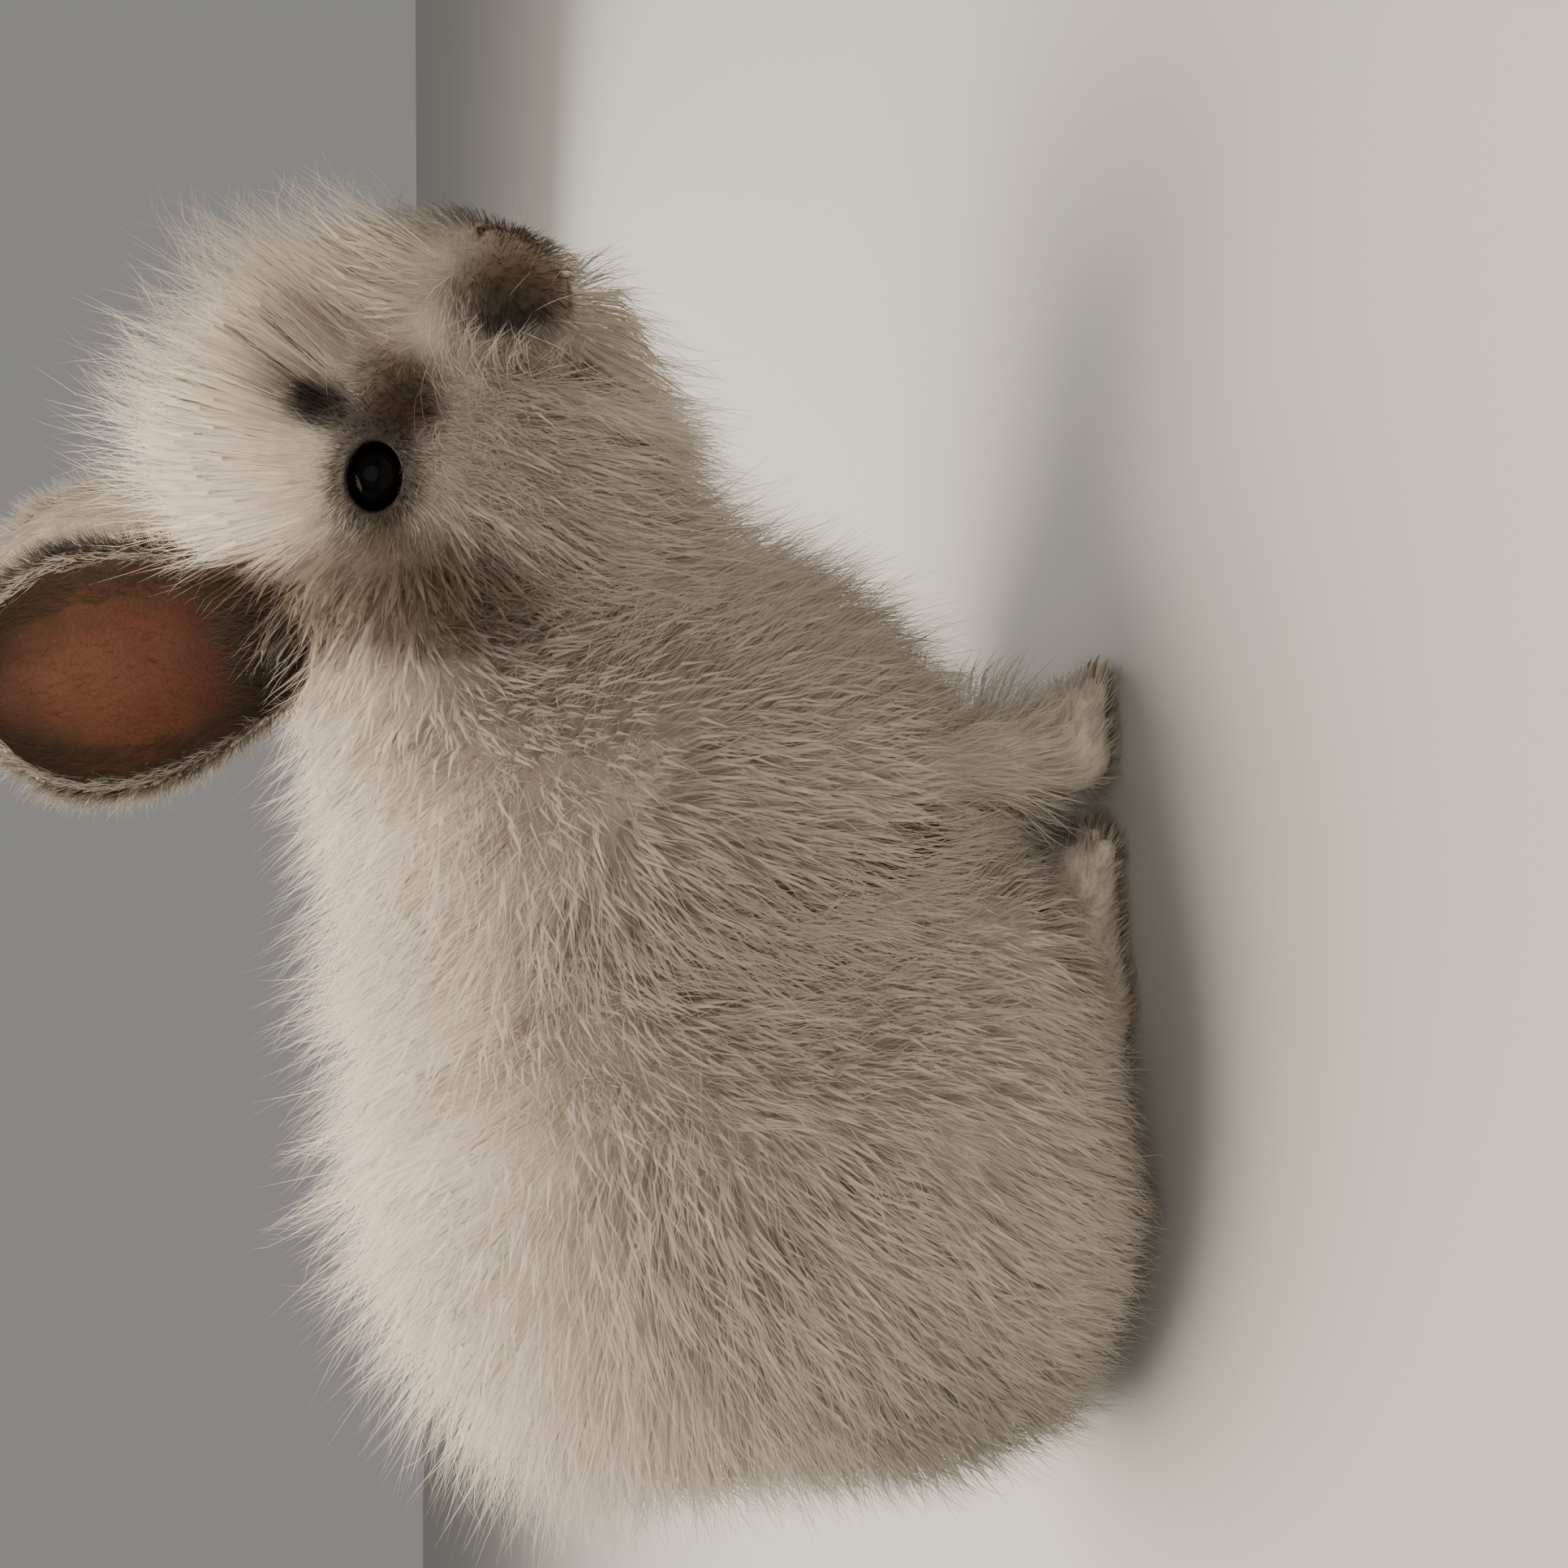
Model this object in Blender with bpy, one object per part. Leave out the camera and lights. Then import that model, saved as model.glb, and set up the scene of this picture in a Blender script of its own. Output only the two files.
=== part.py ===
"""A young white angora rabbit, life size, sitting up with its head raised and turned to its right.

The body faces +X, its left side is +Y and the floor is z = 0. Flesh is a field of blended masses. Each node's
core is that flesh plus under half of the coat, and its locks grow from the core out to the coat's tips.
"""

import math

import bmesh
import bpy
import numpy as np
from mathutils import Euler, Matrix, Vector

MM = 0.001
GAP = 0.3 * MM
SEED = 11

# The cores fill this share of the coat's depth; the locks carry it out to the tips.
CORE_SHARE = 0.42
CORE_FACES = 1150
HEAD_FACES = 1050
LEG_FACES = 290
LOCK_WIDTH = (24, 40)
FINE_LOCK_WIDTH = 20
LOCK_SPACING = 1.06
LOCK_SINK = 5
LOCK_PEAK = (1.0, 1.2)
SHORT_COAT = 7
FLOOR_CLEAR = 1.2 * MM

# The head's own frame: X towards the nose, Z up, its origin midway between the eyes.
HEAD_PLACE = (83, -21, 193)
HEAD_YAW = math.radians(-33)
HEAD_PITCH = math.radians(8)
EYE_RADIUS = 9.6
EYE_PLACE = (0, 20.0, 0)

EAR_LENGTH = 78
EAR_ARC = 66
EAR_WALL = 3.2
EAR_ROOT = (-45, 17, 10)
EAR_LEAN_BACK = {1: 0.26, -1: 0.36}
EAR_SPREAD = 0.10
EAR_OPENING = (0.454, 0.891, 0.0)

HIND_FOOT_HEEL = (-112, 39)
HIND_FOOT_TOE = (-30, 38)
FORELEG_PLACE = (2, 39)


def head_matrix():
    """Carries a point of the head's frame into the body's frame."""
    turn = Euler((0, HEAD_PITCH, HEAD_YAW)).to_matrix().to_4x4()
    return Matrix.Translation(Vector(HEAD_PLACE) * MM) @ turn


HEAD = head_matrix()
HEAD_TURN = np.array(HEAD.to_3x3())
HEAD_AT = np.array(HEAD_PLACE) * MM


def in_head(points):
    """Points of the body's frame, in the head's frame."""
    return (points - HEAD_AT) @ HEAD_TURN


def mirrored(points):
    """Points folded onto the left side, for masses that both sides have."""
    return np.column_stack((points[:, 0], np.abs(points[:, 1]), points[:, 2]))


def ellipsoid(points, centre, radii):
    """Distance to an ellipsoid along the frame's axes; sizes in millimetres."""
    q = points - np.multiply(centre, MM)
    r = np.multiply(radii, MM)
    near = np.sqrt(((q / r) ** 2).sum(1)) + 1e-9
    steep = np.sqrt(((q / r**2) ** 2).sum(1)) + 1e-9
    return near * (near - 1) / steep


def limb(points, start, end, start_radius, end_radius):
    """Distance to a tapered, round-ended limb; sizes in millimetres."""
    a = np.multiply(start, MM)
    along = np.multiply(end, MM) - a
    share = np.clip((points - a) @ along / (along @ along), 0, 1)
    radius = (start_radius + (end_radius - start_radius) * share) * MM
    return np.sqrt(((points - a - share[:, None] * along) ** 2).sum(1)) - radius


def blend(a, b, soft):
    """Smooth union of two distances over soft millimetres."""
    k = soft * MM
    overlap = np.maximum(k - np.abs(a - b), 0) / k
    return np.minimum(a, b) - overlap * overlap * k / 4


def blend_all(distances, soft):
    whole = distances[0]
    for other in distances[1:]:
        whole = blend(whole, other, soft)
    return whole


def torso_flesh(p):
    """Rump, arched back, belly, chest, withers and shoulders."""
    rump = ellipsoid(p, (-108, 0, 90), (56, 54, 72))
    back = ellipsoid(p, (-60, 0, 108), (62, 50, 62))
    belly = ellipsoid(p, (-62, 0, 58), (64, 44, 40))
    chest = ellipsoid(p, (-4, 0, 100), (40, 40, 50))
    withers = ellipsoid(p, (-12, 0, 146), (38, 26, 28))
    shoulder = limb(mirrored(p), (-8, 24, 122), (-8, 32, 84), 24, 18)
    seat = ellipsoid(mirrored(p), (-124, 18, 44), (43, 30, 37))
    return blend_all([rump, back, belly, chest, withers, shoulder, seat], 26)


def neck_flesh(p):
    nape = limb(p, (2, 0, 146), (50, -8, 184), 34, 27)
    throat = limb(p, (20, 0, 116), (66, -16, 150), 30, 20)
    return blend(nape, throat, 20)


def head_flesh(p):
    """Cranium, snout, whisker pads, cheeks, brows, jaw and chin."""
    q = mirrored(in_head(p))
    cranium = ellipsoid(q, (-12, 0, 1), (38, 25, 26))
    snout = limb(q, (4, 0, -1), (42, 0, -14), 21, 15)
    muzzle = ellipsoid(q, (44, 0, -23), (14.5, 14, 19))
    cheek = ellipsoid(q, (-5, 14, -24), (26, 13, 21))
    jaw = limb(q, (-12, 0, -28), (36, 0, -41), 17, 8)
    whole = blend_all([cranium, snout, muzzle, cheek, jaw], 14)
    brow = ellipsoid(q, (0, 19, 10.5), (14, 7, 6))
    pad = ellipsoid(q, (45, 8, -27), (11.5, 9.5, 12))
    whole = blend(whole, brow, 6)
    return blend(whole, pad, 6)


def hind_leg_flesh(p):
    """Both thighs and shanks, folded against the body."""
    q = mirrored(p)
    thigh = ellipsoid(q, (-90, 40, 66), (46, 22, 50))
    knee = limb(q, (-92, 42, 60), (-52, 43, 46), 26, 18)
    shank = limb(q, (-52, 42, 40), (-106, 41, 24), 15, 11)
    return blend_all([thigh, knee, shank], 14)


def body_flesh(p):
    """The body without feet, forelegs, ears and tail."""
    body = blend(torso_flesh(p), neck_flesh(p), 24)
    body = blend(body, hind_leg_flesh(p), 18)
    return blend(body, head_flesh(p), 12)


# Each hair zone: place and reach, the coat's depth, how far it stands up (0 flat, 1 upright) and its lie.
BODY_ZONES = (
    ((-60, 0, 168), 36, 37, 0.60, (-1, 0, 0.1)),
    ((-125, 0, 152), 34, 41, 0.60, (-1, 0, 0)),
    ((-168, 0, 95), 34, 25, 0.60, (-0.6, 0, -1)),
    ((-160, 24, 36), 26, 24, 0.35, (-0.2, 0, -1)),
    ((-136, 34, 12), 20, 20, 0.30, (-0.3, 0, -1)),
    ((-90, 55, 20), 20, 12, 0.25, (-0.4, 0, -1)),
    ((-72, 55, 112), 38, 34, 0.45, (-0.45, 0, -1)),
    ((0, 38, 112), 28, 26, 0.40, (-0.25, 0, -1)),
    ((-12, 0, 174), 26, 27, 0.55, (-1, 0, 0)),
    ((36, 0, 84), 26, 32, 0.45, (-0.1, 0, -1)),
    ((8, 32, 62), 16, 22, 0.40, (-0.1, 0, -1)),
    ((66, -10, 124), 24, 19, 0.50, (0.1, 0, -1)),
    ((-60, 0, 20), 36, 12, 0.15, (-1, 0, 0)),
    ((-92, 62, 70), 30, 24, 0.40, (-0.5, 0, -1)),
    ((-44, 60, 46), 18, 16, 0.30, (-0.4, 0, -1)),
    ((26, -4, 186), 22, 17, 0.45, (-1, 0, 0)),
    ((26, 28, 150), 24, 24, 0.40, (-0.4, 0, -1)),
)
HEAD_ZONES = (
    ((58, 0, -19), 9, 1.4, 0.10, (-1, 0, 0.3)),
    ((54, 0, -3), 9, 5, 0.60, (0.9, 0, 0.7)),
    ((38, 0, 6), 12, 22, 0.75, (0.5, 0, 1)),
    ((16, 0, 24), 15, 34, 0.80, (0.3, 0, 1)),
    ((-12, 0, 29), 14, 38, 0.80, (0.1, 0, 1)),
    ((-36, 0, 24), 12, 18, 0.50, (-1, 0, 0.3)),
    ((-46, 0, 4), 14, 14, 0.45, (-1, 0, 0)),
    ((-8, 29, -26), 18, 17, 0.50, (-0.5, 0, -0.9)),
    ((12, 27, -12), 10, 8, 0.40, (-0.6, 0, -1)),
    ((0, 30, 0), 9, 3.5, 0.25, (-1, 0, 0)),
    ((0, 24, 16), 9, 12, 0.60, (-0.2, 0.3, 1)),
    ((47, 15, -28), 9, 4.5, 0.35, (-1, 0, -0.3)),
    ((42, 0, -48), 11, 18, 0.50, (-0.1, 0, -1)),
    ((12, 8, -46), 18, 35, 0.50, (-0.2, 0, -1)),
    ((-26, 26, -4), 12, 12, 0.40, (-1, 0, -0.3)),
    ((26, 18, -10), 10, 6, 0.40, (-1, 0, -0.1)),
)


def coat(p):
    """The coat's depth in metres, its lift and its lie at each point."""
    total = np.full(len(p), 1e-12)
    sums = np.zeros((len(p), 5))
    for zones, local in ((BODY_ZONES, p), (HEAD_ZONES, in_head(p))):
        side = np.where(local[:, 1] < 0, -1.0, 1.0)
        q = mirrored(local)
        for place, reach, depth, lift, lie in zones:
            off = (q - np.multiply(place, MM)) / (reach * MM)
            weight = np.exp(-(off**2).sum(1) / 2) / reach
            way = np.tile(lie, (len(p), 1)) / np.linalg.norm(lie)
            way[:, 1] *= side
            if zones is HEAD_ZONES:
                way = way @ HEAD_TURN.T
            total += weight
            sums[:, 0] += weight * depth * MM
            sums[:, 1] += weight * lift
            sums[:, 2:] += weight[:, None] * way
    return sums[:, 0] / total, sums[:, 1] / total, sums[:, 2:] / total[:, None]


def foreleg_toes():
    """Start and end of each of the left forepaw's toes, in millimetres."""
    x, y = FORELEG_PLACE
    toes = []
    for i in range(4):
        side = (i - 1.5) * 4.6
        reach = 21 - 1.2 * abs(i - 1.6) ** 2
        toes.append(((x + 8, y + side * 0.8, 8), (x + reach, y + side, 5)))
    return toes


def hind_toes():
    x, y = HIND_FOOT_TOE
    toes = []
    for i in range(4):
        side = (i - 1.5) * 5.6
        reach = 12 - 1.5 * abs(i - 1.3) ** 2
        toes.append(((x - 6, y + side * 0.8, 9), (x + reach, y + side, 6)))
    return toes


def foreleg_flesh(p):
    """The left foreleg, with its short fur: upper arm, forearm, wrist and four toes."""
    x, y = FORELEG_PLACE
    arm = limb(p, (x - 5, y - 3, 58), (x - 1, y, 34), 14, 11.5)
    wrist = limb(p, (x - 1, y, 34), (x + 3, y, 12), 11.5, 10.5)
    palm = limb(p, (x + 2, y, 10), (x + 12, y, 9), 10.8, 9.8)
    leg = blend_all([arm, wrist, palm], 8)
    for start, end in foreleg_toes():
        leg = blend(leg, limb(p, start, end, 4.8, 4), 2.2)
    return leg


def hind_foot_flesh(p):
    """The left hind foot, long and flat, with its short fur, hock and four toes."""
    (heel_x, heel_y), (toe_x, toe_y) = HIND_FOOT_HEEL, HIND_FOOT_TOE
    hock = limb(p, (heel_x, heel_y, 12), (heel_x + 8, heel_y, 20), 11, 11)
    sole = limb(p, (heel_x, heel_y, 9), (heel_x + 50, 38, 10), 9.5, 12)
    arch = limb(p, (heel_x + 50, 38, 10), (toe_x, toe_y, 9), 12, 11.5)
    foot = blend_all([hock, sole, arch], 10)
    for start, end in hind_toes():
        foot = blend(foot, limb(p, start, end, 6, 4.8), 2.4)
    return foot


def tail_flesh(p):
    return limb(p, (-148, 0, 52), (-158, 0, 60), 12, 11)


def surface(field, low, high, step):
    """A closed mesh of the zero surface of a field over a grid: one corner in each crossed cell, and a face
    round each crossed edge. Returns (corners, quads)."""
    low = np.asarray(low, float)
    count = np.ceil((np.asarray(high, float) - low) / step).astype(int) + 1
    axes = [low[i] + step * np.arange(count[i]) for i in range(3)]
    grid = np.stack(np.meshgrid(*axes, indexing="ij"), -1)
    value = field(grid.reshape(-1, 3)).reshape(count)
    value[[0, -1]] = value[:, [0, -1]] = value[:, :, [0, -1]] = step
    inside = value < 0
    cells = count - 1
    total = np.zeros((*cells, 3))
    hits = np.zeros(cells)
    crossings = []
    for axis in range(3):
        shift = np.eye(3, dtype=int)[axis]
        size = count - shift
        here = tuple(slice(0, n) for n in size)
        there = tuple(slice(s, n + s) for s, n in zip(shift, size))
        crossed = inside[here] != inside[there]
        at = np.argwhere(crossed)
        a, b = value[here][crossed], value[there][crossed]
        points = low + step * (at + (a / (a - b))[:, None] * shift)
        one, two = [i for i in range(3) if i != axis]
        for d_one in (0, 1):
            for d_two in (0, 1):
                cell = at.copy()
                cell[:, one] -= d_one
                cell[:, two] -= d_two
                np.add.at(total, tuple(cell.T), points)
                np.add.at(hits, tuple(cell.T), 1)
        crossings.append((axis, at, inside[here][crossed]))
    used = hits > 0
    number = np.full(tuple(cells), -1)
    number[used] = np.arange(used.sum())
    corners = total[used] / hits[used][:, None]
    quads = []
    for axis, at, starts_inside in crossings:
        one, two = (axis + 1) % 3, (axis + 2) % 3
        ring = []
        for d_one, d_two in ((1, 1), (0, 1), (0, 0), (1, 0)):
            cell = at.copy()
            cell[:, one] -= d_one
            cell[:, two] -= d_two
            ring.append(number[tuple(cell.T)])
        ring = np.array(ring).T
        quads.append(np.where(starts_inside[:, None], ring, ring[:, ::-1]))
    return settled(field, corners, step), np.concatenate(quads)


def gradient(field, points, reach=0.5 * MM):
    slope = [field(points + axis) - field(points - axis) for axis in np.eye(3) * reach]
    return np.array(slope).T / (2 * reach)


def settled(field, corners, step):
    """The corners moved onto the zero surface, by at most half a grid step."""
    for _ in range(2):
        slope = gradient(field, corners)
        fall = field(corners) / np.maximum((slope**2).sum(1), 0.2)
        corners = corners - np.clip(fall, -step / 2, step / 2)[:, None] * slope
    return corners


def new_object(name, corners, faces):
    mesh = bpy.data.meshes.new(name)
    mesh.from_pydata(np.asarray(corners).tolist(), [], [[int(i) for i in face] for face in faces])
    thing = bpy.data.objects.new(name, mesh)
    bpy.context.scene.collection.objects.link(thing)
    return thing


def reshaped(thing, change):
    """Runs one change on the object's mesh and writes it back."""
    work = bmesh.new()
    work.from_mesh(thing.data)
    change(work)
    work.to_mesh(thing.data)
    work.free()
    return thing


def islands(work):
    """The separate surfaces of a mesh, as lists of faces."""
    seen = set()
    found = []
    for first in work.faces:
        if first in seen:
            continue
        seen.add(first)
        group = [first]
        for face in group:
            for edge in face.edges:
                for other in edge.link_faces:
                    if other not in seen:
                        seen.add(other)
                        group.append(other)
        found.append(group)
    return found


def crossed_edges(work):
    return [edge for edge in work.edges if len(edge.link_faces) != 2]


def flat_corners(face):
    """The face's corners in its own plane."""
    origin = face.verts[0].co
    across = (face.verts[1].co - origin).normalized()
    up = face.normal.cross(across)
    return [Vector(((v.co - origin).dot(across), (v.co - origin).dot(up))) for v in face.verts]


def turns(a, b, c):
    return (b - a).cross(c - a)


def diagonal_is_free(ring, i, j):
    """Whether the line between two corners of a flat ring lies inside it."""
    a, b = ring[i], ring[j]
    middle = (a + b) / 2
    inside = False
    for k in range(len(ring)):
        c, d = ring[k], ring[(k + 1) % len(ring)]
        if (c.y > middle.y) != (d.y > middle.y):
            if middle.x < c.x + (middle.y - c.y) * (d.x - c.x) / (d.y - c.y):
                inside = not inside
        if {k, (k + 1) % len(ring)} & {i, j}:
            continue
        if turns(a, b, c) * turns(a, b, d) <= 0 and turns(c, d, a) * turns(c, d, b) <= 0:
            return False
    return inside


def split_across(first, second):
    """Splits one of the faces that hold both corners by a line that crosses the one between them."""
    for face in first.link_faces:
        ring = list(face.verts)
        if second not in ring:
            continue
        low, high = sorted((ring.index(first), ring.index(second)))
        near = range(low + 1, high)
        far = [k % len(ring) for k in range(high + 1, low + len(ring))]
        flat = flat_corners(face)
        for i in near:
            for j in far:
                if diagonal_is_free(flat, i, j):
                    bmesh.utils.face_split(face, ring[i], ring[j])
                    return


def triangulate(work):
    """Splits the faces into triangles and keeps two of them to each edge."""
    for _ in range(6):
        work.verts.index_update()
        trial = work.copy()
        bmesh.ops.triangulate(trial, faces=trial.faces)
        pairs = [[v.index for v in edge.verts] for edge in crossed_edges(trial)]
        trial.free()
        if not pairs:
            break
        work.verts.ensure_lookup_table()
        for a, b in pairs:
            split_across(work.verts[a], work.verts[b])
    bmesh.ops.triangulate(work, faces=work.faces)


def keep_largest(work):
    """Triangulates, closes hairline seams and leaves only the largest closed surface."""
    triangulate(work)
    before = len(work.verts)
    merged = work.copy()
    bmesh.ops.remove_doubles(merged, verts=merged.verts, dist=0.004 * MM)
    if len(merged.verts) < before and not crossed_edges(merged):
        bmesh.ops.remove_doubles(work, verts=work.verts, dist=0.004 * MM)
    merged.free()
    groups = sorted(islands(work), key=lambda group: sum(face.calc_area() for face in group))
    lost = [face for group in groups[:-1] for face in group]
    bmesh.ops.delete(work, geom=lost, context="FACES")
    bmesh.ops.delete(work, geom=[v for v in work.verts if not v.link_faces], context="VERTS")


def outward(work):
    bmesh.ops.recalc_face_normals(work, faces=work.faces)


def apply_modifiers(thing):
    graph = bpy.context.evaluated_depsgraph_get()
    shaped = bpy.data.meshes.new_from_object(thing.evaluated_get(graph))
    thing.modifiers.clear()
    old = thing.data
    thing.data = shaped
    bpy.data.meshes.remove(old)


def removed(things):
    for thing in things:
        mesh = thing.data
        bpy.data.objects.remove(thing)
        bpy.data.meshes.remove(mesh)


def sound(thing):
    """Whether the object's mesh is a closed body."""
    work = bmesh.new()
    work.from_mesh(thing.data)
    closed = not crossed_edges(work)
    volume = work.calc_volume()
    work.free()
    return closed and volume > 0


def combined(thing, others, operation):
    """The object joined with, cut by or kept inside all the others, which are then removed."""
    group = bpy.data.collections.new("pieces")
    bpy.context.scene.collection.children.link(group)
    for other in others:
        group.objects.link(other)
    first = thing.data.copy()
    for solver in ("EXACT", "MANIFOLD"):
        step = thing.modifiers.new("combined", "BOOLEAN")
        step.operation = operation
        step.operand_type = "COLLECTION"
        step.collection = group
        step.solver = solver
        apply_modifiers(thing)
        reshaped(thing, keep_largest)
        if sound(thing):
            break
        thing.data = first.copy()
    bpy.data.meshes.remove(first)
    removed(others)
    bpy.data.collections.remove(group)
    return thing


def decimated(thing, faces):
    step = thing.modifiers.new("fewer", "DECIMATE")
    step.ratio = faces / (2 * len(thing.data.polygons))
    apply_modifiers(thing)
    return reshaped(thing, keep_largest)


def modelled(name, field, low, high, step, faces):
    """A closed mesh of a field between two corners in millimetres."""
    corners, quads = surface(field, np.multiply(low, MM), np.multiply(high, MM), step * MM)
    thing = new_object(name, corners, quads)
    reshaped(thing, outward)
    return decimated(thing, faces)


def copied(thing):
    twin = thing.copy()
    twin.data = thing.data.copy()
    bpy.context.scene.collection.objects.link(twin)
    return twin


def grown(thing, by):
    """A copy whose faces all lie at least this far outside the object's."""
    twin = copied(thing)

    def push(work):
        moves = []
        for vert in work.verts:
            normal = sum((face.normal * face.calc_area() for face in vert.link_faces), Vector()).normalized()
            least = min(normal.dot(face.normal) for face in vert.link_faces)
            moves.append(normal * by / max(least, 0.45))
        for vert, move in zip(work.verts, moves):
            vert.co += move

    return reshaped(twin, push)


def hull_of(thing, by):
    """The grown convex hull of an object."""
    twin = copied(thing)

    def wrap(work):
        result = bmesh.ops.convex_hull(work, input=work.verts)
        spare = set(result["geom_interior"]) | set(result["geom_unused"])
        bmesh.ops.delete(work, geom=[v for v in work.verts if v in spare], context="VERTS")
        inner = [face for face in work.faces if face not in set(result["geom"])]
        bmesh.ops.delete(work, geom=inner, context="FACES_ONLY")
        outward(work)

    reshaped(twin, wrap)
    big = grown(twin, by)
    removed([twin])
    return big


def box(name, low, high):
    """A box between two corners in millimetres."""
    corners = [
        (x, y, z)
        for x in (low[0], high[0])
        for y in (low[1], high[1])
        for z in (low[2], high[2])
    ]
    faces = [(0, 1, 3, 2), (4, 6, 7, 5), (0, 4, 5, 1), (2, 3, 7, 6), (0, 2, 6, 4), (1, 5, 7, 3)]
    return new_object(name, np.multiply(corners, MM), faces)


def ball(name, centre, radii, rings, by=0.0):
    """An ellipsoid of quads with triangles at its poles, by metres larger all round."""
    steps = 2 * rings
    corners = [(0, 0, 1)]
    for i in range(1, rings):
        tilt = math.pi * i / rings
        for j in range(steps):
            turn = 2 * math.pi * j / steps
            corners.append((math.sin(tilt) * math.cos(turn), math.sin(tilt) * math.sin(turn), math.cos(tilt)))
    corners.append((0, 0, -1))
    last = len(corners) - 1
    faces = []
    for j in range(steps):
        k = (j + 1) % steps
        faces.append((0, 1 + j, 1 + k))
        faces.append((last, last - steps + k, last - steps + j))
        for i in range(rings - 2):
            a = 1 + i * steps
            faces.append((a + j, a + steps + j, a + steps + k, a + k))
    size = np.multiply(radii, MM) + by
    return new_object(name, np.array(corners) * size + np.multiply(centre, MM), faces)


def placed(thing, matrix):
    thing.data.transform(matrix)
    return thing


class Shingle:
    """The region in front of a shallow cone that opens backwards, so that its coat lies over the next one's."""

    def __init__(self, centre, back, lean):
        self.centre = np.multiply(centre, MM)
        self.back = np.array(Vector(back).normalized())
        self.lean = math.tan(math.radians(lean))

    def depth(self, points):
        off = points - self.centre
        behind = off @ self.back
        aside = np.linalg.norm(off - behind[:, None] * self.back, axis=1)
        return behind - self.lean * aside

    def solid(self, shift=0.0):
        """The region as a closed mesh, its back face moved backwards."""
        sides = 32
        radius = 200 * MM
        shift = shift * math.sqrt(1 + self.lean**2) * 1.01
        turn = np.array(Vector(self.back).to_track_quat("Z", "Y").to_matrix())
        across, up = turn[:, 0], turn[:, 1]
        corners = [self.centre + self.back * shift, self.centre - self.back * radius]
        for j in range(sides):
            angle = 2 * math.pi * j / sides
            ray = across * math.cos(angle) + up * math.sin(angle)
            rim = self.centre + radius * ray
            corners.append(rim + self.back * (self.lean * radius + shift))
            corners.append(rim - self.back * radius)
        faces = []
        for j in range(sides):
            a = 2 + 2 * j
            b = 2 + 2 * ((j + 1) % sides)
            faces += [(0, a, b), (1, b + 1, a + 1), (a, a + 1, b + 1, b)]
        return reshaped(new_object("region", corners, faces), outward)


class Patch:
    """A round region of the body, for a thigh or the tail."""

    def __init__(self, centre, radii):
        self.centre = centre
        self.radii = radii

    def depth(self, points):
        return ellipsoid(points, self.centre, self.radii)

    def solid(self, shift=0.0):
        return ball("region", self.centre, self.radii, 12, shift * 1.4)


def lock_width(points, depth):
    """The locks' width in metres: wide where the coat is deep, finer on the head and tail."""
    wide = np.clip(1.25 * depth, LOCK_WIDTH[0] * MM, LOCK_WIDTH[1] * MM)
    for place, reach in ((HEAD_PLACE, 78), ((-180, 0, 58), 30)):
        far = np.linalg.norm(points - np.multiply(place, MM), axis=1) / (reach * MM)
        share = np.clip((far - 0.8) / 0.4, 0, 1)
        wide = np.minimum(wide, FINE_LOCK_WIDTH * MM * (1 - share) + wide * share)
    return wide


def even_seeds(points, spacing):
    """Points picked farthest first until all are nearer than their spacing to a picked one."""
    picked = [0]
    nearest = np.full(len(points), np.inf)
    while True:
        off = np.linalg.norm(points - points[picked[-1]], axis=1)
        nearest = np.minimum(nearest, off / spacing)
        best = int(nearest.argmax())
        if nearest[best] < 1:
            return picked
        picked.append(best)


def unit(vectors):
    return vectors / np.maximum(np.linalg.norm(vectors, axis=-1, keepdims=True), 1e-9)


def level_point(points, level):
    """Points moved along the slope until they lie at this share of the coat's depth."""
    for _ in range(3):
        slope = gradient(body_flesh, points)
        miss = body_flesh(points) - level * coat(points)[0]
        points = points - slope * (miss / np.maximum((slope**2).sum(1), 0.3))[:, None]
    return points


class Lock:
    """One flat tapered lock: its ring centres, its half widths and heights and its directions."""

    def __init__(self, centres, across, rise, width, height):
        self.centres = centres
        rings = []
        for centre, side, up, half, high in zip(centres, across, rise, width, height):
            rings += [centre - side * half - up * 0.35 * high, centre + side * half - up * 0.35 * high]
            rings.append(centre + up * 0.65 * high)
        self.corners = np.array(rings[:-2])
        self.corners[-1] = centres[-1]

    def solid(self):
        rings = len(self.centres) - 1
        tip = 3 * rings
        faces = [(0, 1, 2)]
        for i in range(rings - 1):
            for j in range(3):
                a = 3 * i + j
                b = 3 * i + (j + 1) % 3
                faces.append((a, b, b + 3, a + 3))
        for j in range(3):
            faces.append((3 * (rings - 1) + j, 3 * (rings - 1) + (j + 1) % 3, tip))
        return reshaped(new_object("lock", self.corners, faces), outward)


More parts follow.
